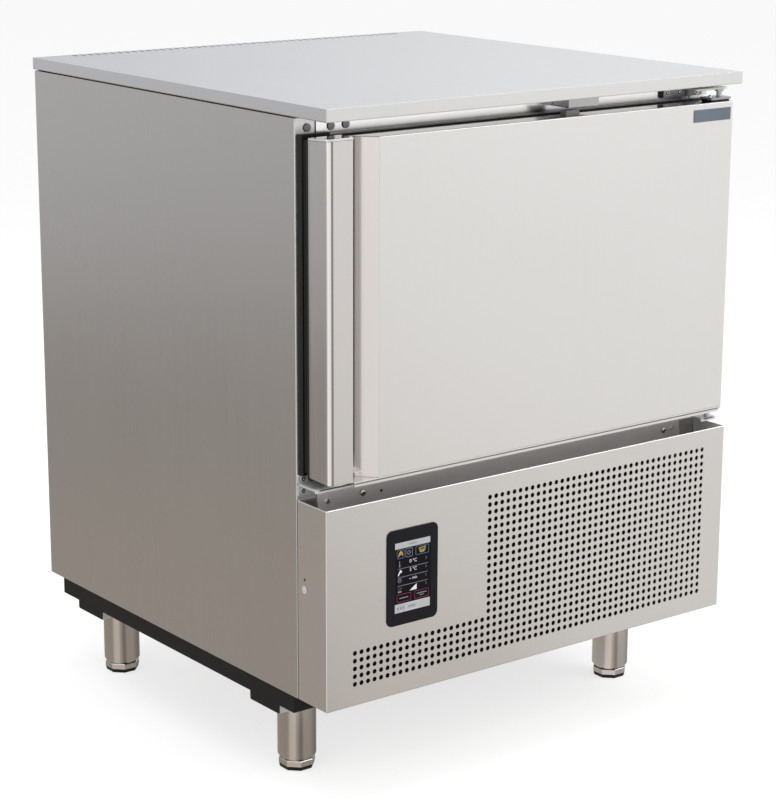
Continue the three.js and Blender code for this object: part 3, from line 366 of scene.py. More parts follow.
# ---- materials
class Nodes:
    """Short calls to build one material's nodes."""

    def __init__(self, name, tree=None):
        if tree is None:
            self.mat = bpy.data.materials.new(name)
            self.mat.use_nodes = True
            tree = self.mat.node_tree
        self.tree = tree
        self.tree.nodes.clear()

    def node(self, kind, **values):
        """_name sets a property; i0, i1 or an input's name sets or links an input."""
        n = self.tree.nodes.new("ShaderNode" + kind)
        for key, value in values.items():
            if key.startswith("_"):
                setattr(n, key[1:], value)
                continue
            numbered = key[0] == "i" and key[1:].isdigit()
            self.feed(n.inputs[int(key[1:]) if numbered else key.replace("_", " ")], value)
        return n

    def out(self, kind, **values):
        return self.node(kind, **values).outputs[0]

    def feed(self, socket, value):
        if isinstance(value, bpy.types.NodeSocket):
            self.tree.links.new(value, socket)
        else:
            socket.default_value = value

    def math(self, op, a, b=0, clamp=False):
        return self.out("Math", _operation=op, _use_clamp=clamp, i0=a, i1=b)

    def add(self, a, b, clamp=False):
        return self.math("ADD", a, b, clamp)

    def times(self, a, b):
        return self.math("MULTIPLY", a, b)

    def span(self, value, a=0.3, b=0.7, low=0, high=1):
        """A smooth step from low at a to high at b."""
        return self.out("MapRange", _interpolation_type="SMOOTHSTEP", i0=value, i1=a, i2=b, i3=low,
                        i4=high)

    def hump(self, value, rise, crest, fall, end, height=1):
        """Nought outside rise and end, full from crest to fall."""
        return self.times(self.span(value, rise, crest), self.span(value, fall, end, height, 0))

    def mix(self, share, a, b):
        """From a to b by the share."""
        n = self.node("Mix", _data_type="RGBA")
        for key, value in ((0, share), (6, a), (7, b)):
            plain = isinstance(value, tuple)
            self.feed(n.inputs[key], (*value[:3], 1) if plain else value)
        return n.outputs[2]

    def noise(self, scale, stretch=(1, 1, 1), detail=2, rough=0.5):
        place = self.node("TexCoord").outputs["Object"]
        spread = self.out("VectorMath", _operation="MULTIPLY", i0=place, i1=stretch)
        return self.node("TexNoise", Vector=spread, Scale=scale, Detail=detail,
                         Roughness=rough).outputs["Fac"]

    def where(self, kind):
        """x, y and z of a texture coordinate."""
        return self.node("SeparateXYZ", Vector=self.node("TexCoord").outputs[kind]).outputs

    def output(self, shader):
        self.node("OutputMaterial", Surface=shader)
        return self.mat

    def surface(self, **values):
        return self.output(self.out("BsdfPrincipled", **values))


def shade(color, gain):
    return tuple(min(c * gain, 1) for c in color[:3])


ALONG = 0.012  # the noise of brushed metal changes this much slower along its grain
GRAIN = {"x": (ALONG, 1, 1), "y": (1, ALONG, 1), "z": (1, 1, ALONG), "none": (1, 1, 1)}


def steel(name, color, rough, grain, depth=0.05, cloud=0.05, streak=0.05, tint=None, metal=1,
          bands=()):
    """Brushed sheet: fine streaks along the grain, faint broad clouds, worn-in roughness; a round
    tube can also have painted reflections, paler and darker bands along it set by which way its
    face turns."""
    n = Nodes(name)
    fine = n.noise(650, GRAIN[grain], rough=0.6)
    broad = n.noise(3.2, detail=3, rough=0.55)
    wide = n.noise(90, GRAIN[grain])
    pale = shade(tint or color, 1 + cloud * 0.6)
    base = n.mix(n.span(broad), shade(color, 1 - cloud), pale)
    lines = n.add(n.times(fine, 0.6), n.times(wide, 0.4))
    base = n.mix(n.span(lines), base, shade(color, 1 + streak))
    if bands:
        # painted reflections: the tone follows which way the face turns, for highlights and dark
        # bands
        x, y, _ = n.where("Normal")
        across = n.math("SUBTRACT", n.times(x, 0.83), n.times(y, 0.56))
    for rise, crest, fall, end, tone in bands:
        base = n.mix(n.hump(across, rise, crest, fall, end), base, tone)
    roughness = n.add(n.times(lines, 0.16), rough - 0.08)
    roughness = n.add(roughness, n.times(n.math("SUBTRACT", broad, 0.5), 0.1), clamp=True)
    bump = n.out("Bump", Strength=depth, Distance=0.0004, Height=lines)
    return n.surface(Base_Color=base, Roughness=roughness, Normal=bump, Metallic=metal)


def plastic(name, color, rough, scale, depth, vary=0.12, metal=0, spec=0.5):
    """Moulded or painted surface: fine grain, slight tone changes and rubbed spots."""
    n = Nodes(name)
    fine = n.noise(scale, detail=3, rough=0.6)
    broad = n.noise(14, detail=3, rough=0.6)
    base = n.mix(n.span(broad), shade(color, 1 - vary), shade(color, 1 + vary))
    roughness = n.add(n.times(broad, 0.2), rough - 0.1, clamp=True)
    bump = n.out("Bump", Strength=depth, Distance=0.0003, Height=fine)
    return n.surface(Base_Color=base, Roughness=roughness, Normal=bump, Metallic=metal,
                     Specular_IOR_Level=spec)


def glow(name, color, strength):
    """A lit mark on the screen."""
    n = Nodes(name)
    tone = n.mix(n.span(n.noise(60, detail=1)), shade(color, 0.92), color)
    return n.surface(Base_Color=(*shade(color, 0.2), 1), Roughness=0.3, Emission_Color=tone,
                     Emission_Strength=strength)


# colour, roughness, direction of the grain, bump, clouds, streaks
SIDE = steel("satin_side", (0.6, 0.59, 0.575), 0.3, "z", 0.02, 0.025, 0.012)
# painted light: the worktop's side skirts get a paler copy of its steel
SKIRT_LIT = steel("top_skirt_painted_light", (0.71, 0.715, 0.72), 0.3, "y", 0.02, 0.02, 0.012)
# painted light: the side panels' front flanges get a paler copy of the side steel
FLANGE_LIT = steel("front_flange_painted_light", (0.93, 0.92, 0.915), 0.36, "x", 0.02, 0.015, 0.01, metal=0.85)
# painted light: the upper rail, shaded under the worktop, is made paler than the other steel
RAIL_TOP = steel("upper_rail_painted_light", (0.96, 0.95, 0.945), 0.2, "x", 0.015, 0.015, 0.01)
# painted light: the worktop's front and back edge and its underside get a paler copy of its steel
HEM_LIT = steel("top_front", (0.725, 0.725, 0.715), 0.34, "x", 0.02, 0.015, 0.01)
# painted highlight: a paler steel for top and front edges, for bright edge lines
EDGE_LIT = steel("edge_painted_highlight", (0.73, 0.725, 0.72), 0.38, "x", 0.01, 0.01, 0.01)
FRONT = steel("satin_front", (0.7, 0.69, 0.675), 0.3, "x", 0.02, 0.02, 0.012)
# a matte mill finish for inner faces, made near white with little metal: painted light where they
# lie in shade
BACKED_LIT = steel("inner_face_and_painted_light", (0.93, 0.925, 0.92), 0.5, "x", 0.02, 0.03, 0.015, metal=0.15)
# painted light: the lower rail, shaded under the door, is made near white with part diffuse
RAIL = steel("satin_rail_painted_light", (0.93, 0.885, 0.875), 0.42, "x", 0.02, 0.03, 0.015, metal=0.6)
PALE = steel("pale_door", (0.775, 0.767, 0.755), 0.33, "z", 0.015, 0.012, 0.008)
# painted shade: a darker copy of the door's steel for the finger recess
WALL_SHADED = steel("recess_wall_painted_shade", (0.72, 0.68, 0.67), 0.15, "z", 0.01, 0.02, 0.012)
# painted shade: the door's top lid, under the worktop, gets a dark steel
LID_SHADED = steel("lid_painted_shade", (0.36, 0.35, 0.36), 0.1, "x", 0.01, 0.03, 0.015)
TOP = steel("pale_top", (0.68, 0.69, 0.715), 0.3, "x", 0.02, 0.015, 0.012)
GRIP = steel("grip_steel", (0.665, 0.645, 0.63), 0.2, "z", 0.02, 0.02, 0.02)
# painted light on the handle: a darker left face, a paler nose and a dark dip beside it
GRIP_SIDE_SHADED = steel("grip_side_painted_shade", (0.535, 0.52, 0.515), 0.2, "z", 0.02, 0.03, 0.02)
GRIP_NOSE_LIT = steel("grip_nose_painted_highlight", (0.84, 0.815, 0.8), 0.2, "z", 0.01, 0.01, 0.01)
GRIP_DIP_SHADED = steel("grip_dip_painted_shade", (0.4, 0.385, 0.38), 0.2, "z", 0.01, 0.01, 0.01)
# painted reflections: a pale highlight band and two dark bands round the legs and feet
ROUND = steel("leg_steel_painted_reflections", (0.55, 0.53, 0.51), 0.24, "z", 0.03, 0.04, 0.04, bands=(
    (-0.52, -0.3, -0.14, 0.04, (0.98, 0.93, 0.89)),
    (0.05, 0.14, 0.22, 0.36, (0.36, 0.33, 0.31)),
    (0.62, 1, 1.5, 1.6, (0.26, 0.25, 0.24))))
# the dark inner steel; also painted shade on the foot sleeves' tops and inside the handle
DARK_STEEL_AND_SHADE = steel("inner_steel_and_painted_shade", (0.52, 0.51, 0.5), 0.32, "x", cloud=0.04)
ZINC = steel("zinc_plate", (0.76, 0.79, 0.8), 0.46, "none", 0.03, 0.07, tint=(0.8, 0.82, 0.81),
             metal=0.5)
# painted shade: a dark copy of the plate steel for the upper door plate, the hinge flange and the
# switch's left face
DULL_SHADED = steel("plate_painted_shade", (0.36, 0.36, 0.39), 0.36, "none", 0.03, 0.08)
# painted light: screw steel near white so heads read bright in shade
SCREW = steel("screw_steel_painted_light", (0.98, 0.98, 0.97), 0.24, "none", 0.02, metal=0.85)
COPPER = steel("copper", (0.7, 0.33, 0.19), 0.28, "none", cloud=0.16, tint=(0.52, 0.27, 0.17))
FINS = steel("fin_aluminium", (0.66, 0.68, 0.69), 0.38, "z", cloud=0.06)

# colour, roughness, scale of the grain, bump, variation of tone
BLACK_PAINT = plastic("black_paint", (0.012, 0.012, 0.013), 0.5, 700, 0.1, spec=0.25)
BLACK = plastic("black_plastic", (0.011, 0.011, 0.012), 0.42, 1000, 0.12, spec=0.3)
RUBBER = plastic("seal_rubber", (0.012, 0.012, 0.012), 0.62, 500, 0.2, spec=0.3)
GREY = plastic("grey_plastic", (0.3, 0.3, 0.31), 0.45, 900, 0.12, 0.06)
PLUG = plastic("plug_grey", (0.3, 0.29, 0.31), 0.42, 900, 0.05, 0.04, metal=0.9)
HOUSING = plastic("housing_grey", (0.8, 0.8, 0.82), 0.45, 900, 0.06, 0.03, metal=0.55)
WHITE = plastic("white_plastic", (0.8, 0.8, 0.79), 0.4, 900, 0.08, 0.03)
FOAM = plastic("foam", (0.76, 0.66, 0.4), 0.9, 260, 0.6, 0.1, spec=0.1)
# matte black, also used as painted shade behind the front panel
MATTE_BLACK_SHADE = plastic("matte_black_and_painted_shade", (0.012, 0.012, 0.012), 0.8, 500, 0.1, spec=0.1)
GLASS = plastic("screen_glass", (0.005, 0.004, 0.009), 0.16, 30, 0, 0.2, spec=0.12)
BEZEL = plastic("bezel_black", (0.013, 0.0135, 0.017), 0.5, 900, 0.04, 0.06, spec=0.12)
BADGE = plastic("badge_blue_grey", (0.175, 0.21, 0.26), 0.38, 900, 0.06, 0.08, metal=0.35)


# ---- screws and plugs
def toward(direction):
    """A turn that takes +z to a direction."""
    return Vector(UP).rotation_difference(Vector(direction)).to_matrix()


def turned_at(shell, profile, place, direction, sides=16, mat=0, start=0):
    """A turned shape from (radius, height) pairs, standing at a place in a direction."""
    spin, base = toward(direction), Vector(place)
    return shell.loft([[tuple(base + spin @ Vector((x, y, h)))
                        for x, y in circle(0, 0, max(r, 0.001), sides, start)]
                       for r, h in profile], mat=mat)


def pan_screw(shell, place, direction, r, ring=0):
    """A domed head with a cross recess painted black for its shade, on a thin washer face, in a
    dark ring if asked.
    """
    if ring:
        turned_at(shell, [(r + ring, -0.1), (r + ring, 0.2), (0, 0.2)], place, direction, 24, 1)
    head = ((1.12, -0.3), (1.12, 0.25), (1, 0.3), (0.97, 0.9), (0.8, 1.5), (0.45, 1.85), (0, 1.9))
    turned_at(shell, [(r * share, h) for share, h in head], place, direction, 18)
    spin, base = toward(direction), Vector(place)
    for a, b in ((r * 0.52, r * 0.12), (r * 0.12, r * 0.52)):
        shell.loft([[tuple(base + spin @ Vector((x, y, h))) for x, y in rect(-a, -b, a, b)]
                    for h in (1.2, 1.93)], mat=1)


def painted_socket_screw(shell, place, direction, r=4.2):
    """A bright rim, a dark well painted black for the shade in the socket, and a raised painted
    glint at the centre.
    """
    for radius, height, mat in ((r, 0.5, 0), (r * 0.76, 0.6, 1), (r * 0.36, 1.2, 0)):
        disc = [(radius, -0.1), (radius, height), (0, height)]
        turned_at(shell, disc, place, direction, 20, mat)


def hex_bolt(shell, place, direction, r, h):
    """A hexagonal head on a round flange."""
    flange = [(r * 1.35, 0), (r * 1.35, 1), (r * 1.3, 1.2), (0, 1.2)]
    turned_at(shell, flange, place, direction, 24)
    turned_at(shell, [(r, 1.2), (r, h - 0.4), (r * 0.86, h), (0, h)], place, direction, 6)


def plug(shell, place, direction, r=6):
    """A flat grey plug that stands out of its hole; its side is a dark collar, painted shade."""
    cap = [(r * 0.99, 1.65), (r * 0.99, 1.9), (r * 0.93, 2.15), (0, 2.25)]
    turned_at(shell, [(r, -0.2), (r, 1.7), (0, 1.7)], place, direction, 28, 1)
    turned_at(shell, cap, place, direction, 28)


# ---- worktop
def make_worktop():
    x, front, back, low, high = 399.8, -78.8, 735.8, 1018, 1036.9
    corner_r, top_r, fold_r, hem = 1.2, 0.15, 1.8, 14
    ring = lambda d: rim(rect(-x, front, x, back), True, corner_r, 4, d)
    out = [(hem, low)] + quarter(fold_r, 4, low) + quarter(top_r, 5, high, -1)[::-1]
    inner = [(T + 1, high - T), (T + 0.3, high - T - 0.3), (T, high - T - 1),
             (T, low + T + 0.6), (T + 0.6, low + T), (hem, low + T)]
    shell = Shell().swept(ring, out).swept(ring, inner).walls(ring(hem), low, low + T)
    middles = [(i - 23.5) * 14 for i in range(48)]
    vents = [rounded(cx - 2.5, 711, cx + 2.5, 731, 2.45) for cx in middles]
    for d, w in ((top_r, high), (T + 1, high - T)):
        line = ring(d)
        line = [p for i, p in enumerate(line) if (Vector(p) - Vector(line[i - 1])).length > 1e-6]
        shell.cover(line, vents, w)
    for vent in vents:
        shell.walls(vent, high, high - T)
    sheet = piece("worktop_sheet", shell, [TOP, SKIRT_LIT, HEM_LIT], "pale_steel", "worktop")
    # painted light: the skirts, the edges and the underside of the one sheet get paler copies of
    # the top's steel
    paint(sheet, 1, lambda f: abs(f.normal.x) > 0.9)
    paint(sheet, 2, lambda f: abs(f.normal.y) > 0.6 or f.normal.z < -0.3)
    seams = Shell()
    for sx in (-1, 1):
        for sy, y in ((-1, front), (1, back)):
            a = Vector((sx * (x + 0.02), y - sy * 2.5, low + 1.5))
            b = Vector((sx * (x + 0.02), y - sy * 15.5, high - 2.5))
            seams.tube([a, (a + b) / 2, b], 0.13, 6)
    piece("worktop_corner_seams", seams, DARK_STEEL_AND_SHADE, "pale_steel")


# ---- outer skins
def make_sides():
    for side, name in ((-1, "left"), (1, "right")):
        x = side * 398.3
        flange = [(x - side * 20, 734), (x, 734), (x, 0), (x - side * 35, 0)]
        if side > 0:
            flange.reverse()
        shell = Shell().sheet(flange, BASE, UNDER_TOP, r=2.2)
        shell.slab(rounded(x - side * 0.8, 0.8, x - side * 25, 730, 1, 2), BASE, BASE + T)
        skin = piece(name + "_side_skin", shell, [SIDE, FLANGE_LIT], "satin_steel",
                     name + "_side_panel")
        # painted light: the faces toward the front get the paler steel
        paint(skin, 1, lambda f: f.normal.y < -0.9)


def make_back():
    half = 396.8
    louvres = [(col * 150, 230 + row * 30) for row in range(6) for col in (-1, 1)]
    slots = [rounded(cx - 110, low, cx + 110, low + 8, 3.9) for cx, low in louvres]
    shell = Shell().slab(rect(-half, BASE, half, UNDER_TOP), BACK - T, BACK, "y", slots)
    for cx, low in louvres:
        hood(shell, cx, low + 14)
    piece("back_sheet", shell, SIDE, "satin_steel", "back_panel")
    places = [(sx * 384, z) for sx in (-1, 1) for z in (180, 380, 588, 796, 1000)]
    screws = Shell()
    for px, pz in places + [(0, 1004), (0, 172), (-190, 1004), (190, 1004)]:
        pan_screw(screws, (px, BACK + 0.3, pz), BEHIND, 3.2)
    piece("back_screws", screws, [SCREW, BLACK], "satin_steel")
    gland, place = Shell(), (330, BACK, 200)
    turned_at(gland, [(13, 0), (13, 1.2), (12, 1.6), (0, 1.6)], place, BEHIND, 6)
    throat = [(9, 1.5), (9, 2.6), (8, 3), (5.4, 3), (5.2, 2.2), (0, 2.2)]
    turned_at(gland, throat, place, BEHIND, 24)
    piece("back_gland", gland, BLACK, "black_plastic")


def hood(shell, cx, top, half=112, deep=2.9, thick=0.9):
    """A pressed louvre: a half-round hood that opens downwards over its slot."""
    rows = [(top - 14 * sin(a), deep * sin(a)) for a in [TAU / 4 * k / 6 for k in range(7)]]
    ends = ((0, 0), (3, 0.55), (9, 0.92), (18, 1))  # (distance from the end, share of depth)
    stations = [(s - half, share) for s, share in ends]
    stations += [(half - s, share) for s, share in reversed(ends)]
    skin, under = [], []
    for s, share in stations:
        for loops, less, lift in ((skin, 0, 0), (under, thick, 0.01)):
            loops.append([(cx + s, BACK + 0.02 + max(d - less, 0) * share,
                           top - (top - z) * max(share, 0.05) + lift) for z, d in rows])
    shell.loft(skin, ring=False, ends=OPEN)
    shell.loft(under, ring=False, ends=OPEN)
    lips = [(loop[-1], low[-1]) for loop, low in zip(skin, under)]
    for (a, b), (c, d) in zip(lips, lips[1:]):
        shell.add([a, c, d, b], [(0, 1, 2, 3)])


def make_base():
    for end, y in LEG_ROWS:
        path = [(y - 40, 127.7), (y - 40, 110), (y + 40, 110), (y + 40, 127.7)]
        channel = Shell().sheet(path, -384.6, 384.6, 2, 3, "x")
        piece(end + "_rail_channel", channel, ZINC, "zinc_steel", end + "_cross_rail")
        ends = Shell()
        for side in (-1, 1):
            ends.slab(rounded(y - 39.6, 110.4, y + 39.6, 127.5, 2.6, 3),
                      side * 385, side * 352, "x", edge=0.6)
        piece(end + "_rail_plugs", ends, BLACK_PAINT, "black_paint")
    dress(BLACK_PAINT, "base_frame", edge=1.2)


def make_legs():
    tube = [(8.4, 17.3), (26, 17.3), (26.6, 17.6), (29.3, 21.6), (29.9, 22.8), (30, 24.2),
            (30, 107.9), (29.4, 109.2), (28.4, 109.7), (12, 109.7), (12, 108),
            (27.6, 108), (27.6, 36), (8.4, 36)]
    c, eighth = 26.5 / cos(pi / 8), pi / 8  # an octagon 53 mm across
    sleeve = [(c - 2.4, 6.8), (c - 0.5, 7), (c, 7.8), (c, 15.4), (c - 0.8, 16.6),
              (c - 2.2, 17), (9, 17), (9, 6.9), (0, 6.9)]
    thread = [(r, 17 + k * 2.2 + rise) for k in range(30)
              for r, rise in ((7.7, 0), (7.7, 0.5), (6.7, 1.1), (6.7, 1.6))]
    stem = [(0, 12), (7, 12)] + thread + [(7, 84), (6, 85), (0, 85)]
    tip = [(0, 0), (c - 4, 0), (c - 2.4, 0.6), (c - 0.7, 4.4), (c - 0.7, 6.9), (0, 6.9)]
    for end, y in LEG_ROWS:
        for side, x in (("left", -LEG_X), ("right", LEG_X)):
            name, place = f"{end}_{side}", (x, y, 0)
            leg = Shell().swept(lambda r: circle(x, y, r, 64), tube + tube[:1])
            piece(name + "_leg_tube", leg, ROUND, "satin_steel", name + "_leg")
            foot = turned_at(Shell(), sleeve, place, UP, 8, 0, eighth)
            turned_at(foot, stem, place, UP, 20)
            foot = piece(name + "_foot_sleeve", foot, [ROUND, DARK_STEEL_AND_SHADE], "satin_steel",
                         name + "_foot", name + "_foot", 25)
            # painted shade: the sleeve's top, in the gap under the tube, gets the dark steel
            paint(foot, 1, lambda f: f.normal.z > 0.3)
            piece(name + "_foot_tip", turned_at(Shell(), tip, place, UP, 8, 0, eighth), BLACK,
                  "satin_steel", body=name + "_foot", angle=25)


# ---- front panel
def make_fascia():
    x, front, low, high = 398, -72, 159, 465.3
    bend, fold_r, hem, hem_down = 2.4, 2.2, 1.3, high - 12
    steps = 5
    nodes = lambda d: rim([(-x, -2.2), (-x, front), (x, front), (x, -2.2)], False, bend, steps, d)
    lipped = [(15, low)] + quarter(fold_r, 4, low)
    half_turn = [pi * k / 8 for k in range(9)]
    out = lipped + [(hem * (1 - cos(a)), high - hem * (1 - sin(a))) for a in half_turn]
    out += [(2 * hem, hem_down)]
    inner = [(T, hem_down), (T, low + fold_r), (T + 0.4, low + T + 0.3), (2.4, low + T),
             (15, low + T)]
    loops = [[(px, py, w) for px, py in nodes(d)] for d, w in out + inner + out[:1]]
    front_at, left_at = 1 + steps, 0  # the walls with holes, left out here and covered below
    shell = Shell().loft(loops, ring=False, ends=OPEN, skip=[
        (level, wall) for level in (len(lipped) - 1, len(out)) for wall in (front_at, left_at)])
    for end in (0, -1):
        ring = [loop[end] for loop in loops[:-1]]
        shell.add(ring, [tuple(range(len(ring)))])
    pitch, hole_r, full = 12, 3.75, 21  # the columns have all rows from the 21st on
    holes = [circle(-x + 51.2 + pitch * col, low + 33.9 + pitch * row, hole_r, 16, pi / 16)
             for col in range(59) for row in range(21 if col >= full else 5)]
    holes.append(rect(-284.8, 271.7, -199.7, 409.8))
    small = [circle(-19, 349.5, 2.1, 14), circle(-19, 334.3, 3, 14)]
    for first, axis, along, cut, wall in ((front_at, "y", 0, holes, front),
                                          (left_at, "x", 1, small, -x)):
        for d, edge in ((0, high - hem), (T, hem_down)):
            a, b = (p[along] for p in nodes(d)[first:first + 2])
            shell.cover(rect(a, low + fold_r, b, edge), cut, wall + d, axis)
        for hole in cut:
            shell.walls(hole, wall, wall + T, axis)
    sheet = piece("fascia_sheet", shell, [FRONT, BACKED_LIT, EDGE_LIT], "satin_steel", "fascia_panel")
    # the inner faces get the near-white inner steel: matte finish and painted light
    paint(sheet, 1, lambda f: f.normal.y > 0.5 or f.normal.x * f.center.x < -0.2)
    # painted highlight: the hem's upward faces along the top get the edge steel
    paint(sheet, 2, lambda f: f.normal.z > 0.35 and f.center.z > 0.46)

    # painted shade: dark strips in the gaps at the cabinet, on the floor inside and as the backing
    # of the perforation
    dark = Shell()
    for side in (-1, 1):
        dark.slab(rect(side * (x - 0.3), low + 1, side * (x - T), high - 0.5), -2.3, -0.4, "y")
        dark.slab(rect(side * (x - 1.6), low + 6, side * 361, 440), -1.7, -0.9, "y")
    dark.slab(rect(-x + 4, -56, x - 4, -2), low + 1.6, low + 2.6)
    dark.slab(rect(-x + 20, 166, x - 12, 432), front + 3.4, front + 4.6, "y")
    dark.box((-x + T + 0.2, -25, 343), (-x + T + 1, -13, 356), 0.2)
    piece("fascia_shadow_strips", dark, MATTE_BLACK_SHADE, "black_paint")

    tabs, bolts = Shell(), Shell()
    for side in (-1, 1):
        edge, tip, r = side * (x - T), 331, 14
        shape = [(edge, 404), (side * tip, 404)]
        shape += [(side * (tip + r - cx), 450.5 + cz) for cx, cz in arc(0, 0, r, 0, TAU / 4, 5)]
        shape += [(edge, 464.5)]
        tabs.slab(shape if side > 0 else shape[::-1], -1.6, -0.4, "y", edge=0.25)
        hex_bolt(bolts, (side * 345.8, -1.6, 455.2), AHEAD, 4.2, 4.2)
        pan_screw(bolts, (side * 345.8, -1.6, 430), AHEAD, 3.4)
    piece("fascia_tabs", tabs, FRONT, "satin_steel")
    piece("fascia_bolts", bolts, [SCREW, BLACK], "zinc_steel")
    cap = [(2.7, -4.8), (2.7, 0.3), (5.7, 0.35), (6, 0.6), (5.7, 0.95), (4.4, 1.08), (0, 1.1)]
    cap = turned_at(Shell(), cap, (-x, -19, 334.3), LEFT, 28)
    piece("side_cap_button", cap, WHITE, "white_plastic", "side_cap")


# ---- display
def make_display():
    y = -72.3
    outline = lambda d: rounded(-289.5 + d, 267 + d, -195 - d, 414.5 - d, 10 - d, 8)
    hole = rounded(-275.4, 285.9, -209.2, 395.1, 0.8, 2)
    rings = [(0, y + 0.3), (0, y - 0.5), (0.25, y - 1.2), (0.9, y - 1.6), (1.8, y - 1.7)]
    shell = Shell().swept(outline, rings, "y")
    for d, w in (rings[-1], rings[0]):
        shell.cover(outline(d), [hole], w, "y")
    shell.walls(hole, y - 1.7, y + 0.3, "y")
    piece("display_frame", shell, BEZEL, "black_plastic", "display_bezel", angle=25)
    glass = Shell().slab(rounded(-275.3, 286, -209.3, 395, 0.7, 2), y - 1.25, y, "y", edge=0.1)
    piece("display_glass", glass, GLASS, "screen", "display_screen")
    make_screen_marks(y - 1.27)


def make_screen_marks(y):
    """Generic signs, placed in percent of the glass from its top left corner."""
    px = lambda u: -275.6 + 66.4 * u / 100
    pz = lambda v: 395 - 109 * v / 100
    mats = [glow("ui_" + name, color, power) for name, color, power in (
        ("white", (0.8, 0.82, 0.84), 0.8), ("light", (0.6, 0.61, 0.61), 0.62),
        ("grey", (0.4, 0.4, 0.48), 0.45), ("cyan", (0.05, 0.3, 0.42), 0.55),
        ("orange", (0.8, 0.33, 0.05), 0.65), ("yellow", (0.62, 0.42, 0.08), 0.45),
        ("red", (0.36, 0.02, 0.06), 0.55))]
    mats.append(plastic("ui_ink", (0.02, 0.02, 0.03), 0.4, 100, 0))
    white, light, grey, cyan, orange, yellow, red, ink = range(8)
    thick, over = 0.06, 0.07  # a mark's thickness, its lift when it lies on another mark
    shell = Shell()

    def patch(points, mat, lift=0, holes=()):
        shell.slab(points, y - thick - lift, y - lift, "y", holes, mat=mat)

    def shape(points, mat, lift=0):
        patch([(px(u), pz(v)) for u, v in points], mat, lift)

    def disc(u, v, r, mat, lift=0, sides=18):
        patch(circle(px(u), pz(v), r, sides), mat, lift)

    def bar(u0, v0, u1, v1, mat, lift=0, r=0.3):
        patch(rounded(px(u0), pz(v1), px(u1), pz(v0), r, 2), mat, lift)

    def outline(u0, v0, u1, v1, r, w, mat, lift=0):
        hole = rounded(px(u0) + w, pz(v1) + w, px(u1) - w, pz(v0) - w, r - w)
        patch(rounded(px(u0), pz(v1), px(u1), pz(v0), r), mat, lift, [hole])

    def stroke(points, w, mat, lift=0):
        for (u0, v0), (u1, v1) in zip(points, points[1:]):
            a, b = Vector((px(u0), pz(v0))), Vector((px(u1), pz(v1)))
            n = (b - a).normalized()
            s = Vector((-n.y, n.x)) * w / 2
            patch([tuple(a - s), tuple(b - s), tuple(b + s), tuple(a + s)], mat, lift)

    # head bar, three buttons
    bar(0.8, 0.6, 99, 9.2, light)
    bar(39, 4.2, 62, 5.6, grey, 0.08, 0.1)
    for u0, u1, mat in ((6, 26.5, cyan), (30, 49.5, grey), (58, 95.5, cyan)):
        outline(u0, 10.8, u1, 23, 2.2, 0.7, mat)
    shape(((9, 21), (12, 14.5), (16.5, 12.2), (20, 13), (23, 17), (21, 20.5), (18.5, 16.5),
           (15.5, 18)), orange)
    disc(39.7, 16.9, 3.3, grey)
    disc(39.7, 16.9, 2.6, ink, over)
    shape(((67, 13.4), (87, 12.6), (84.5, 19), (80, 20.6), (72.5, 20.8), (69.5, 19.4)), yellow)
    shape(((70.5, 14.8), (83.5, 14.3), (82, 16.4), (72, 16.8)), ink, over)
    # rows with arrows
    for v in (37.2, 49.2, 61.2):
        bar(8, v, 93, v + 0.6, grey, 0, 0.05)
    for v in (29.8, 41.8, 53.8, 65.6):
        stroke([(86, v - 1.9), (89.5, v), (86, v + 1.9)], 0.4, grey)
    # thermometer, probe, clock, fan speed
    disc(13.5, 33.6, 1.5, grey, sides=12)
    stroke([(13.5, 33.6), (13.5, 26.6)], 1.2, grey)
    shape(((8.5, 46.5), (13.5, 40.5), (17, 38.8), (20, 41), (19.5, 43.5), (16, 43), (10, 47.5)),
          white)
    disc(14, 54, 3.4, grey)
    disc(14, 54, 2.7, ink, over)
    stroke([(14, 51.6), (14, 54), (16.4, 54.8)], 0.35, grey, 0.1)
    for u in (10.5, 14, 17.5):
        stroke([(u, 63.5), (u + 1, 65.5), (u, 67.5)], 0.35, grey)
    bar(9, 68.8, 19, 71, grey, 0, 0.2)
    shape(((41.5, 71.2), (61.5, 71.2), (61.5, 63.2)), white)
    # two buttons with captions, foot bar
    outline(6, 73.4, 45.5, 84.8, 2.4, 0.75, red)
    outline(55.5, 73.4, 96, 84.8, 2.4, 0.75, red)
    for box in ((13, 78.6, 38, 79.8), (62, 77.2, 90, 78.4), (70, 80.2, 82, 81.3)):
        bar(*box, grey, 0, 0.1)
    bar(0.8, 87, 99, 99.4, light)
    outline(32.5, 88.4, 66, 98, 1, 0.5, white, over)
    bar(38, 92.2, 58, 94.2, grey, 0.08, 0.3)
    for u in (7, 14.5, 22):
        bar(u, 91.5, u + 4, 95.5, grey, 0.08, 0.4)
    for text, v, size in (("0 °C", 29.6, 7.4), ("3 °C", 41.6, 7.4), ("-- min", 53.8, 6.2)):
        curve = bpy.data.curves.new("t", "FONT")
        curve.body, curve.size, curve.align_x, curve.align_y = text, size, "CENTER", "CENTER"
        curve.extrude = 0.03
        temp = bpy.data.objects.new("t", curve)
        mesh = bpy.data.meshes.new_from_object(temp)
        verts = [(px(51.5) + p.co.x, y - 0.03 - p.co.z, pz(v) + p.co.y) for p in mesh.vertices]
        shell.add(verts, [tuple(p.vertices) for p in mesh.polygons], white)
        bpy.data.objects.remove(temp)
        bpy.data.curves.remove(curve)
        bpy.data.meshes.remove(mesh)
    piece("display_marks", shell, mats, "screen")


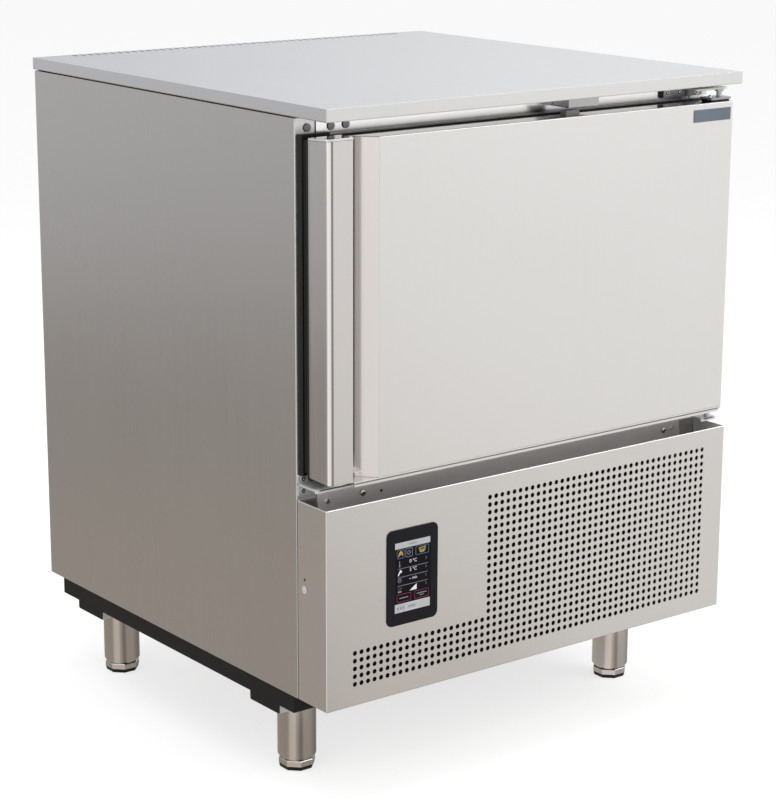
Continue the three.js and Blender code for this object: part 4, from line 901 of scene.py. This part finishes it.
# ---- door
def make_door():
    ride = dict(body="door")
    path = [(-395.7, DOOR_LEDGE), (-372, DOOR_LEDGE), (-324, DOOR_LEDGE), (-297.5, DOOR_FRONT),
            (DOOR_X, DOOR_FRONT), (DOOR_X, DOOR_REAR)]
    rise = lambda u, v: LOW + (12 if u < -390 else 0)
    skin = Shell().sheet(path, rise, HIGH, r=(2.2, 3.4, 2, 2.2))
    skin = piece("door_front_skin", skin, [PALE, WALL_SHADED], "pale_steel", "door_skin", **ride)
    # painted shade: the recess's slanted wall gets the darker steel
    paint(skin, 1, lambda f: f.normal.x < -0.3 and f.center.x > -0.35)

    # the left face leans in, and its lower edge rises towards the back
    path = [(-DOOR_X, DOOR_REAR), (-DOOR_X, -35.8), (-384.9, -61.9), (-377.6, DOOR_FRONT),
            (GRIP_X, DOOR_FRONT), (GRIP_X, -50.9)]
    rise = lambda u, v: LOW + 1.4 + 8.6 * max(0, (v + 61) / 29.2) if u < -376 else LOW
    grip = Shell().sheet(path, rise, HIGH, t=1.5, r=(3, 7.5, 6, 1.8), steps=8)
    grip = piece("door_grip_profile", grip, [GRIP, GRIP_SIDE_SHADED, GRIP_NOSE_LIT, GRIP_DIP_SHADED, DARK_STEEL_AND_SHADE],
                 "satin_steel", "door_handle", **ride)
    # painted shade: the left face
    paint(grip, 1, lambda f: f.normal.x < -0.75)
    # painted highlight: the nose
    paint(grip, 2, lambda f: -0.75 < f.normal.x < -0.19 and f.normal.y < 0)
    # painted shade: a dark dip where the nose meets the front
    paint(grip, 3, lambda f: -0.19 < f.normal.x < -0.02 and f.normal.y < 0)
    # painted shade: the faces inside the handle are dark, so the recess wall shows a dark
    # reflection by the lip
    paint(grip, 4, lambda f: f.normal.y > 0.3 or f.normal.x > 0.5)

    lean = atan2(12.6, 26.1)  # of the grip's left face
    nose = arc(-379.8, -54.6, 7.5, pi + lean, 1.5 * pi - 0.13, 8)
    nose = [(-DOOR_X, -35.8)] + nose + [(-377, DOOR_FRONT)]
    bore = circle(*PIN, 4.9, 20)
    cap = [(-DOOR_X, DOOR_REAR)] + nose + [(GRIP_X, DOOR_FRONT), (GRIP_X, DOOR_REAR)]
    top = Shell().slab(cap, HIGH + 0.3, 992.8, edge=0.5)
    lid = [(-342.4, DOOR_REAR), (-342.4, -34), (-323.6, -34), (-296.6, -61),
           (396, -61), (396, DOOR_REAR)]
    top.slab(lid, HIGH, HIGH + 1, holes=[bore])
    top = piece("door_top_lid", top, [LID_SHADED, EDGE_LIT, PALE], "satin_steel", "door_top_cap", **ride)
    # painted light on the handle cap: its front faces get the edge steel, its left faces the
    # door's pale steel
    paint(top, 1, lambda f: f.normal.y < -0.5 and f.center.x < -0.34)
    paint(top, 2, lambda f: f.normal.x < -0.5 and f.center.x < -0.34)
    # thin round edges in the edge steel, painted highlight lines along the top edges
    hem = Shell().tube([(-323.2, -35.3, HIGH), (-297.4, -62.3, HIGH), (397, -62.4, HIGH)], 0.42, 8)
    hem.tube([(px, py + 0.5, 992.2) for px, py in nose[3:]] + [(-343.2, -62.4, 992.2)], 0.4, 8)
    piece("door_edge_hems", hem, EDGE_LIT, "pale_steel", **ride)
    shape = [(-341, DOOR_FRONT)] + arc(395.5, -60.9, 2, -pi / 2, 0, 3)
    shape += [(DOOR_X, DOOR_REAR), (-372, DOOR_REAR), (-372, DOOR_LEDGE), (-341, DOOR_LEDGE)]
    bottom = Shell().slab(shape, 492.5, LOW - 0.3, holes=[bore], edge=0.5)
    lip = rounded(-341, 488.9, 391, 494.5, 1, 2)
    bottom.slab(lip, DOOR_FRONT, DOOR_FRONT + T, "y", edge=0.2)
    piece("door_bottom_lid", bottom, PALE, "pale_steel", "door_bottom_cap", **ride)
    make_seal(**ride)
    badge = Shell().slab(rounded(312.3, 961.5, 391.3, 981, 1, 3), -64, -63.2, "y", edge=0.25)
    piece("badge_blank", badge, BADGE, "badge", "badge_plate", **ride)
    # the upper plate, in shade under the worktop, gets the dark steel: painted shade
    for name, z, mat in (("upper", 993.1, DULL_SHADED), ("lower", 489, ZINC)):
        shape = rounded(353.3, -59.9, 396.3, DOOR_REAR, 3)
        plate = Shell().slab(shape, z, z + 3.2, holes=[bore], edge=0.3)
        piece(name + "_plate", plate, mat, "zinc_steel", name + "_door_plate", **ride)
    spacer = Shell().box((356, -57, 989.9), (394, -34, 993.2), 0.4)
    piece("upper_plate_spacer", spacer, BLACK, "zinc_steel", **ride)
    screws = Shell()
    for px, py in ((362, -46), (371, -38)):
        pan_screw(screws, (px, py, 996.3), UP, 2.8)
        pan_screw(screws, (px, py, 489), DOWN, 2.8)
    piece("door_plate_screws", screws, [SCREW, BLACK], "zinc_steel", **ride)
    magnet = Shell().box((64.2, -44.8, 989.9), (90.8, DOOR_REAR, 996.9), 0.8)
    magnet.box((67.5, -41.5, 996.2), (87.5, -35, 997), 0.3, 1)
    piece("magnet_block", magnet, [GREY, DARK_STEEL_AND_SHADE], "grey_plastic", "door_magnet", **ride)


def moulding(corners, r, profile):
    """A closed profile of (inset, y) swept round an outline in x and z."""
    return Shell().swept(lambda d: rim(corners, True, r, 4, d), profile + profile[:1], "y")


def make_seal(**ride):
    ring = moulding(rect(-396, 499.5, 392, 989.8), 3, [
        (0, -25.2), (0, -30.2), (0.4, -31.1), (1.3, -31.5), (32.7, -31.5), (33.7, -31),
        (34, -30.2), (34, -25), (33.4, -24.2), (32.6, -24), (24, -24), (23.6, -25.2),
        (20.6, -25.2), (20.2, -24), (1.2, -24), (0.3, -24.4)])
    piece("door_frame_moulding", ring, BLACK, "black_plastic", "door_inner_frame", **ride)
    seal = moulding(rect(-393, 508, 386, 987.8), 2, [
        (4, -23.7), (12, -23.7), (12.6, -21.6), (15.4, -20.4), (15.9, -19.3), (13.6, -18.2),
        (13.4, -17.6), (15.7, -16.4), (16, -15), (15.4, -12.9), (14.2, -12.3), (1.8, -12.3),
        (0.6, -12.9), (0, -15), (0.4, -16.4), (2.6, -17.6), (2.4, -18.2), (0.2, -19.3),
        (0.6, -20.4), (3.4, -21.6)])
    piece("door_seal", seal, RUBBER, "seal_rubber", "door_gasket", angle=50, **ride)
    sheet = [(-395.7, LOW + 14), (-374, LOW), (396, LOW), (396, HIGH), (-395.7, HIGH)]
    liner = Shell().slab(sheet, -33, -31.85, "y")
    dome = lambda d: rounded(-357 + d, 538.6 + d, 353 - d, 950.6 - d, 26, 6)
    liner.swept(dome, ((0, -31.86), (0, -31.4), (1.5, -30.2), (12, -24.6), (15, -23.6),
                       (19, -23.2)), "y", (True, True))
    piece("door_inner_skin", liner, DARK_STEEL_AND_SHADE, "satin_steel", "door_liner", angle=40, **ride)
    dress(FOAM, "door_insulation")


# ---- chamber front
def chamber(d):
    """The chamber's mouth moved in by d; the corners keep their radius when they move in."""
    return rounded(-335 + d, 530 + d, 335 - d, 960 - d, 20 - min(d, 0), 8)


def make_front_rails():
    line = [(-395, 503), (395, 503), (395, 990), (-345, 990), (-345, 994),
            (-395, 994)]
    outer, inner = (lambda d: inset(line, d)), (lambda d: chamber(-1 - d))
    b, front, rear = 2, -12, -0.35
    breaker = Shell()
    for outline in (outer, inner):
        breaker.swept(outline, quarter(b, 3, front) + [(0, rear)], "y")
    for d, w in ((b, front), (0, rear)):
        breaker.cover(outer(d), [inner(d)], w, "y")
    piece("mouth_frame", breaker, BLACK, "black_plastic", "breaker_frame")

    half, seam = 363, Shell()
    top = [(40, UNDER_TOP), (0, UNDER_TOP), (0, 961.8)]
    top = Shell().sheet(top, -half, half, r=2.2, axis="x")
    piece("upper_rail", top, RAIL_TOP, "satin_steel", "top_front_rail")
    for side in (-1, 1):
        seam.slab(rect(side * 361.4, 962, side * 363.7, 1015.8), -0.15, 0.6, "y")
    piece("rail_end_seams", seam, BLACK_PAINT, "black_paint")
    # the lower rail leans forward below its bend
    bend, foot, ahead = 492, 436, -6
    low = [(0, 528.2), (0, bend), (ahead, foot), (10, foot)]
    low = Shell().sheet(low, -half, half, r=2.4, axis="x")
    piece("lower_rail", low, RAIL, "satin_steel", "lower_front_rail")
    lean = lambda z: ahead * (bend - z) / (bend - foot)
    plugs, bits = Shell(), Shell()
    for px, pz in ((-377, 1002), (-336, 1001.5), (-310, 1002)):
        plug(plugs, (px, 0, pz), AHEAD)
    piece("rail_plugs", plugs, [PLUG, BLACK], "grey_plastic")
    for px, pz in ((-281.4, 456.5), (327.8, 453.5)):
        pan_screw(bits, (px, lean(pz), pz), AHEAD, 5, 1.1)
    for px, pz in ((-248.2, 454.4), (276.5, 469)):
        # painted shade: holes drawn as thin black discs
        hole = [(2.2, 0.02), (2.2, 0.12), (0, 0.12)]
        turned_at(bits, hole, (px, lean(pz) - 0.2, pz), AHEAD, 14, 1)
    piece("rail_screws", bits, [SCREW, BLACK], "satin_steel")


def bracket_arm(shell, x0, x1, front, low, r=6):
    """A plate with rounded front corners."""
    x0, x1 = sorted((x0, x1))
    shape = [(x0, -0.4), (x1, -0.4)] + arc(x1 - r, front + r, r, 0, -pi / 2, 4)
    shape += arc(x0 + r, front + r, r, -pi / 2, -pi, 4)
    shell.slab(shape[::-1], low, low + 3, edge=0.4)


def make_brackets():
    flange = (-3.3, -0.3, "y")
    for side, name, node, width, front, low, lug in (
        (1, "hinge", "lower_hinge_bracket", 33, -52, 475, 466.7),
        (-1, "spare", "lower_left_bracket", 69, -46.7, 487.6, 471),
    ):
        edge, shell = side * 397.1, Shell()
        bracket_arm(shell, edge, edge - side * width, front, low)
        lip = rounded(edge, low - 2.8, edge - side * width, low + 2.6, 1.2, 3)
        # the lip's faces get the near-white inner steel: painted light
        shell.slab(lip, front, front + 3, "y", edge=0.2, mat=1)
        shell.slab(rounded(edge, lug, edge - side * 37, lug + 31.6, 2.5), *flange, edge=0.4)
        if side > 0:  # washer, pin and nut
            washer = [(8, 0), (8, 2.1), (7.6, 2.4), (0, 2.4)]
            turned_at(shell, washer, (*PIN, 486.3), UP, 28)
            pin = [(4.5, 0), (4.5, 17.9), (3.9, 18.7), (0, 18.7)]
            turned_at(shell, pin, (*PIN, 477.8), UP, 24)
            nut = [(7, 0), (7, 2.6), (6.4, 3), (0, 3)]
            turned_at(shell, nut, (*PIN, 475), DOWN, 6)
        piece(name + "_lower_bracket", shell, [ZINC, BACKED_LIT], "zinc_steel", node)
        screws = Shell()
        for z in (lug + 25.3, lug + 7.6):
            painted_socket_screw(screws, (side * 388.4, -3.3, z), AHEAD)
        piece(name + "_bracket_screws", screws, [SCREW, BLACK], "zinc_steel")
    shell, low, high = Shell(), 994.3, 1010.9
    bracket_arm(shell, 328.1, 397.1, -52, 1008)
    # the flange's left part is painted dark and its right part pale: painted shade and painted
    # light
    shell.slab(rect(300.1, low, 363, high), *flange, [rect(347.8, 997.2, 351.8, 1004.8)], mat=1)
    shell.slab(rect(363, low, 397.1, high), *flange, mat=2)
    pin, nut = [(4.5, 0), (4.5, 18), (3.8, 18.7), (0, 18.7)], [(7.5, 0), (7.5, 4), (0, 4)]
    turned_at(shell, pin, (*PIN, 1008.2), DOWN, 24)
    turned_at(shell, nut, (*PIN, 1008.2), DOWN, 6)
    piece("hinge_upper_bracket", shell, [ZINC, DULL_SHADED, HOUSING], "zinc_steel", "upper_hinge_bracket")
    screws = Shell()
    for px, py in ((311.5, -3.3), (337, -3.3), (371, -8.5)):
        painted_socket_screw(screws, (px, py, 1001.8), AHEAD, 4.6)
    screws.box((296.9, -3.6, 995.2), (303.5, -0.1, 1008.4), 0.3, 1)
    piece("hinge_upper_screws", screws, [SCREW, BLACK], "zinc_steel")
    blocks = Shell().box((352.2, -8.5, 995.4), (382, -3.3, 1009.6))
    blocks.box((343.4, -5.2, 997.4), (347, -3.2, 1004.6), 0.3)
    piece("hinge_stop_block", blocks, WHITE, "white_plastic")


def make_switch():
    shell = Shell()
    shell.slab(rounded(76, 999, 137, 1015.5, 1.6, 3), -37, -0.4, "y", edge=1, steps=3)
    shell.box((82, -37.2, 1002), (131, -36.6, 1012.5), 0.2)
    shell.box((96, -30, 997.4), (118, -14, 999.2), 0.5, 1)
    housing = piece("switch_housing", shell, [HOUSING, BLACK, DULL_SHADED], "grey_plastic", "door_switch")
    # painted shade: the housing's left face gets the dark steel
    paint(housing, 2, lambda f: f.normal.x < -0.7)


# ---- inside
def make_inside():
    wall, mouth, shut = 1.45, 0.02, (False, True)
    liner = Shell().swept(chamber, [(-wall, mouth), (0, mouth), (0, 629.3), (1, 634.6),
                                    (3.9, 639.2), (8.4, 642.2), (14, 643.3)], "y", shut)
    liner.swept(chamber, [(-wall, mouth), (-wall, 644.7)], "y", shut)
    piece("chamber_shell", liner, DARK_STEEL_AND_SHADE, "satin_steel", "chamber_liner")
    dish = [(19, 0), (19, 0.8), (17.5, 1.4), (15, 1.5), (13, 0.6), (0, 0.6)]
    x, y, floor = -120, 250, 530  # the drain's middle
    drain = turned_at(Shell(), dish, (x, y, floor), UP, 32)
    for a in [TAU * k / 6 for k in range(6)]:
        place = (x + 8 * cos(a), y + 8 * sin(a), floor)
        turned_at(drain, [(2.2, 0), (2.2, 0.75), (0, 0.75)], place, UP, 12, 1)
    piece("chamber_drain", drain, [DARK_STEEL_AND_SHADE, BLACK], "satin_steel")
    fan_z, near, mount = 745, 436, 443.2
    spot = lambda r, a, y: (r * cos(a), y, fan_z + r * sin(a))
    guard = Shell()
    for r in (24, 44, 64, 84, 104, 124):
        guard.tube([spot(r, TAU * k / 48, near) for k in range(49)], 1.3, 8, ends=False)
    for a in [TAU * (k + 0.5) / 4 for k in range(4)]:
        stay = [spot(20, a, near + 1.6), spot(134, a, near + 1.6), spot(138, a, mount)]
        guard.tube(stay, 1.7, 8)
    piece("fan_guard", guard, SCREW, "satin_steel")
    dress(DARK_STEEL_AND_SHADE, "left_tray_rack", "right_tray_rack", edge=0.5)
    dress(DARK_STEEL_AND_SHADE, "evaporator_baffle")
    dress(FINS, "evaporator_coil")
    # the machinery behind the perforation is matte black, which also paints its shade
    dress(MATTE_BLACK_SHADE, "condenser_coil", "condenser_fan_shroud", "electrical_box", "condensate_tray",
          "insulation_tray")
    dress(BLACK, "evaporator_fan_blade", "condenser_fan_blade", edge=0.6)
    dress(BLACK_PAINT, "evaporator_fan_motor", "condenser_fan_motor", "compressor",
          "liquid_receiver", edge=1.5)
    dress(GREY, "probe_socket", edge=0.8)
    dress(MATTE_BLACK_SHADE, "controller_housing", edge=0.8)
    dress(FOAM, "cabinet_insulation", "worktop_core")
    dress(COPPER, "suction_pipe", "discharge_pipe")


for make in (make_worktop, make_sides, make_back, make_base, make_legs, make_fascia, make_display,
             make_door, make_front_rails, make_brackets, make_switch, make_inside):
    make()


# ---- stage and light
def make_floor(sides=48):
    bm = bmesh.new()
    centre, last = bm.verts.new((0, 0, 0)), None
    for r in (0.6, 1.2, 2.5, 5, 10, 25):
        ring = [bm.verts.new((*p, 0)) for p in circle(0, 0, r, sides)]
        for k in range(sides):
            near, far = (centre,), (ring[k], ring[(k + 1) % sides])
            if last:
                near, far = (last[k],), (*far, last[(k + 1) % sides])
            bm.faces.new((*near, *far))
        last = ring
    mesh = bpy.data.meshes.new("floor")
    bm.to_mesh(mesh)
    bm.free()
    floor = linked("floor", mesh)

    n = Nodes("floor")
    path = n.node("LightPath")
    x, y, _ = n.where("Object")
    far = n.math("SQRT", n.add(n.times(x, x), n.times(y, y)))
    # seen in metal: a painted shadow of the object, warm and dimmer close by, paler with distance,
    # lightest at the right
    lit = n.mix(n.span(far, 0.5, 3.2), (0.67, 0.625, 0.58), (0.885, 0.865, 0.85))
    lit = n.mix(n.span(far, 2.8, 8.5), lit, (1, 0.99, 0.985))
    aside = n.math("DIVIDE", n.math("SUBTRACT", n.times(x, 0.866), n.times(y, 0.5)), far)
    lit = n.mix(n.span(aside, 0.6, 1, 0, 0.5), lit, (1, 1, 0.995))
    # round the front left corner: a painted highlight stretch to the left, a painted dark band in
    # front
    turn = n.math("ARCTAN2", n.add(y, 0.35), n.add(x, 0.36))
    lit = n.mix(n.hump(turn, -2.98, -2.78, -2.1, -1.8, 0.65), lit, (1, 1, 0.99))
    lit = n.mix(n.hump(turn, -1.36, -1.26, -1.16, -1.06, 0.8), lit, (0.4, 0.38, 0.36))
    # painted shade behind to the left: greyer
    dim = n.mix(n.span(far, 1.2, 2.4), (0.43, 0.385, 0.345), (0.385, 0.352, 0.33))
    dim = n.mix(n.span(far, 2.9, 4.2), dim, (0.55, 0.54, 0.545))
    dim = n.mix(n.span(far, 3.8, 8), dim, (0.655, 0.655, 0.67))
    behind = n.times(n.span(y, -0.56, -0.44), n.span(x, -0.5, 0.8, 1, 0.45))
    mirror = n.out("Emission", Color=n.mix(behind, lit, dim), Strength=1)
    soft = n.out("BsdfDiffuse", Color=(0.5, 0.5, 0.5, 1))
    lamp = n.out("Emission", Color=(1, 1, 1, 1), Strength=0.72)
    camera = n.out("AddShader", i0=soft, i1=lamp)
    plain = n.out("BsdfDiffuse", Color=(0.72, 0.715, 0.71, 1))
    mesh.materials.append(n.output(by_ray(n, path, camera, mirror, plain)))


def by_ray(n, path, camera, mirror, plain):
    """What the camera sees, what shines in metal and glass, and what lights the rest."""
    glossy = n.math("MAXIMUM", path.outputs["Is Glossy Ray"], path.outputs["Is Transmission Ray"])
    other = n.out("MixShader", i0=glossy, i1=plain, i2=mirror)
    return n.out("MixShader", i0=path.outputs["Is Camera Ray"], i1=other, i2=camera)


def make_world():
    world = bpy.data.worlds.new("world")
    bpy.context.scene.world = world
    world.use_nodes = True
    n = Nodes("world", world.node_tree)
    path = n.node("LightPath")
    x, y, z = n.where("Generated")
    flat = n.math("SQRT", n.add(n.add(n.times(x, x), n.times(y, y)), 0.0001))

    def facing(azimuth, a, b):
        turn = radians(azimuth)
        along = n.add(n.times(x, cos(turn)), n.times(y, sin(turn)))
        return n.span(n.math("DIVIDE", along, flat), a, b)

    windows = n.math("MAXIMUM", facing(20, 0.72, 0.93), facing(-50, 0.6, 0.9))
    room = n.mix(windows, (0.66, 0.66, 0.67), (1, 1, 0.995))
    room = n.mix(n.span(z, 0.45, 0.8), room, (0.88, 0.88, 0.885))
    fill = n.out("Background", Color=(0.82, 0.82, 0.825, 1), Strength=0.55)
    mirror = n.out("Background", Color=room, Strength=1)
    white = n.out("Background", Color=(1, 1, 1, 1), Strength=1)
    n.node("OutputWorld", Surface=by_ray(n, path, white, mirror, fill))


def lamp(name, place, target, size, power, color=(1, 1, 1)):
    data = bpy.data.lights.new(name, "AREA")
    data.shape, data.size, data.size_y = "RECTANGLE", size[0], size[1]
    data.energy, data.color = power, color
    obj = linked(name, data)
    obj.location = place
    obj.rotation_mode = "QUATERNION"
    obj.rotation_quaternion = (Vector(target) - Vector(place)).to_track_quat("-Z", "Y")


make_floor()
make_world()
lamp("key", (2.4, -2.6, 2.9), (0, 0, 0.6), (2.4, 2), 60, (1, 0.985, 0.96))
lamp("sky", (-0.4, 0.2, 3.6), (0, 0, 0.5), (3, 3), 45)
lamp("left", (-3.2, -1.4, 1.8), (0, 0, 0.6), (1.6, 2.4), 14, (1, 0.98, 0.95))
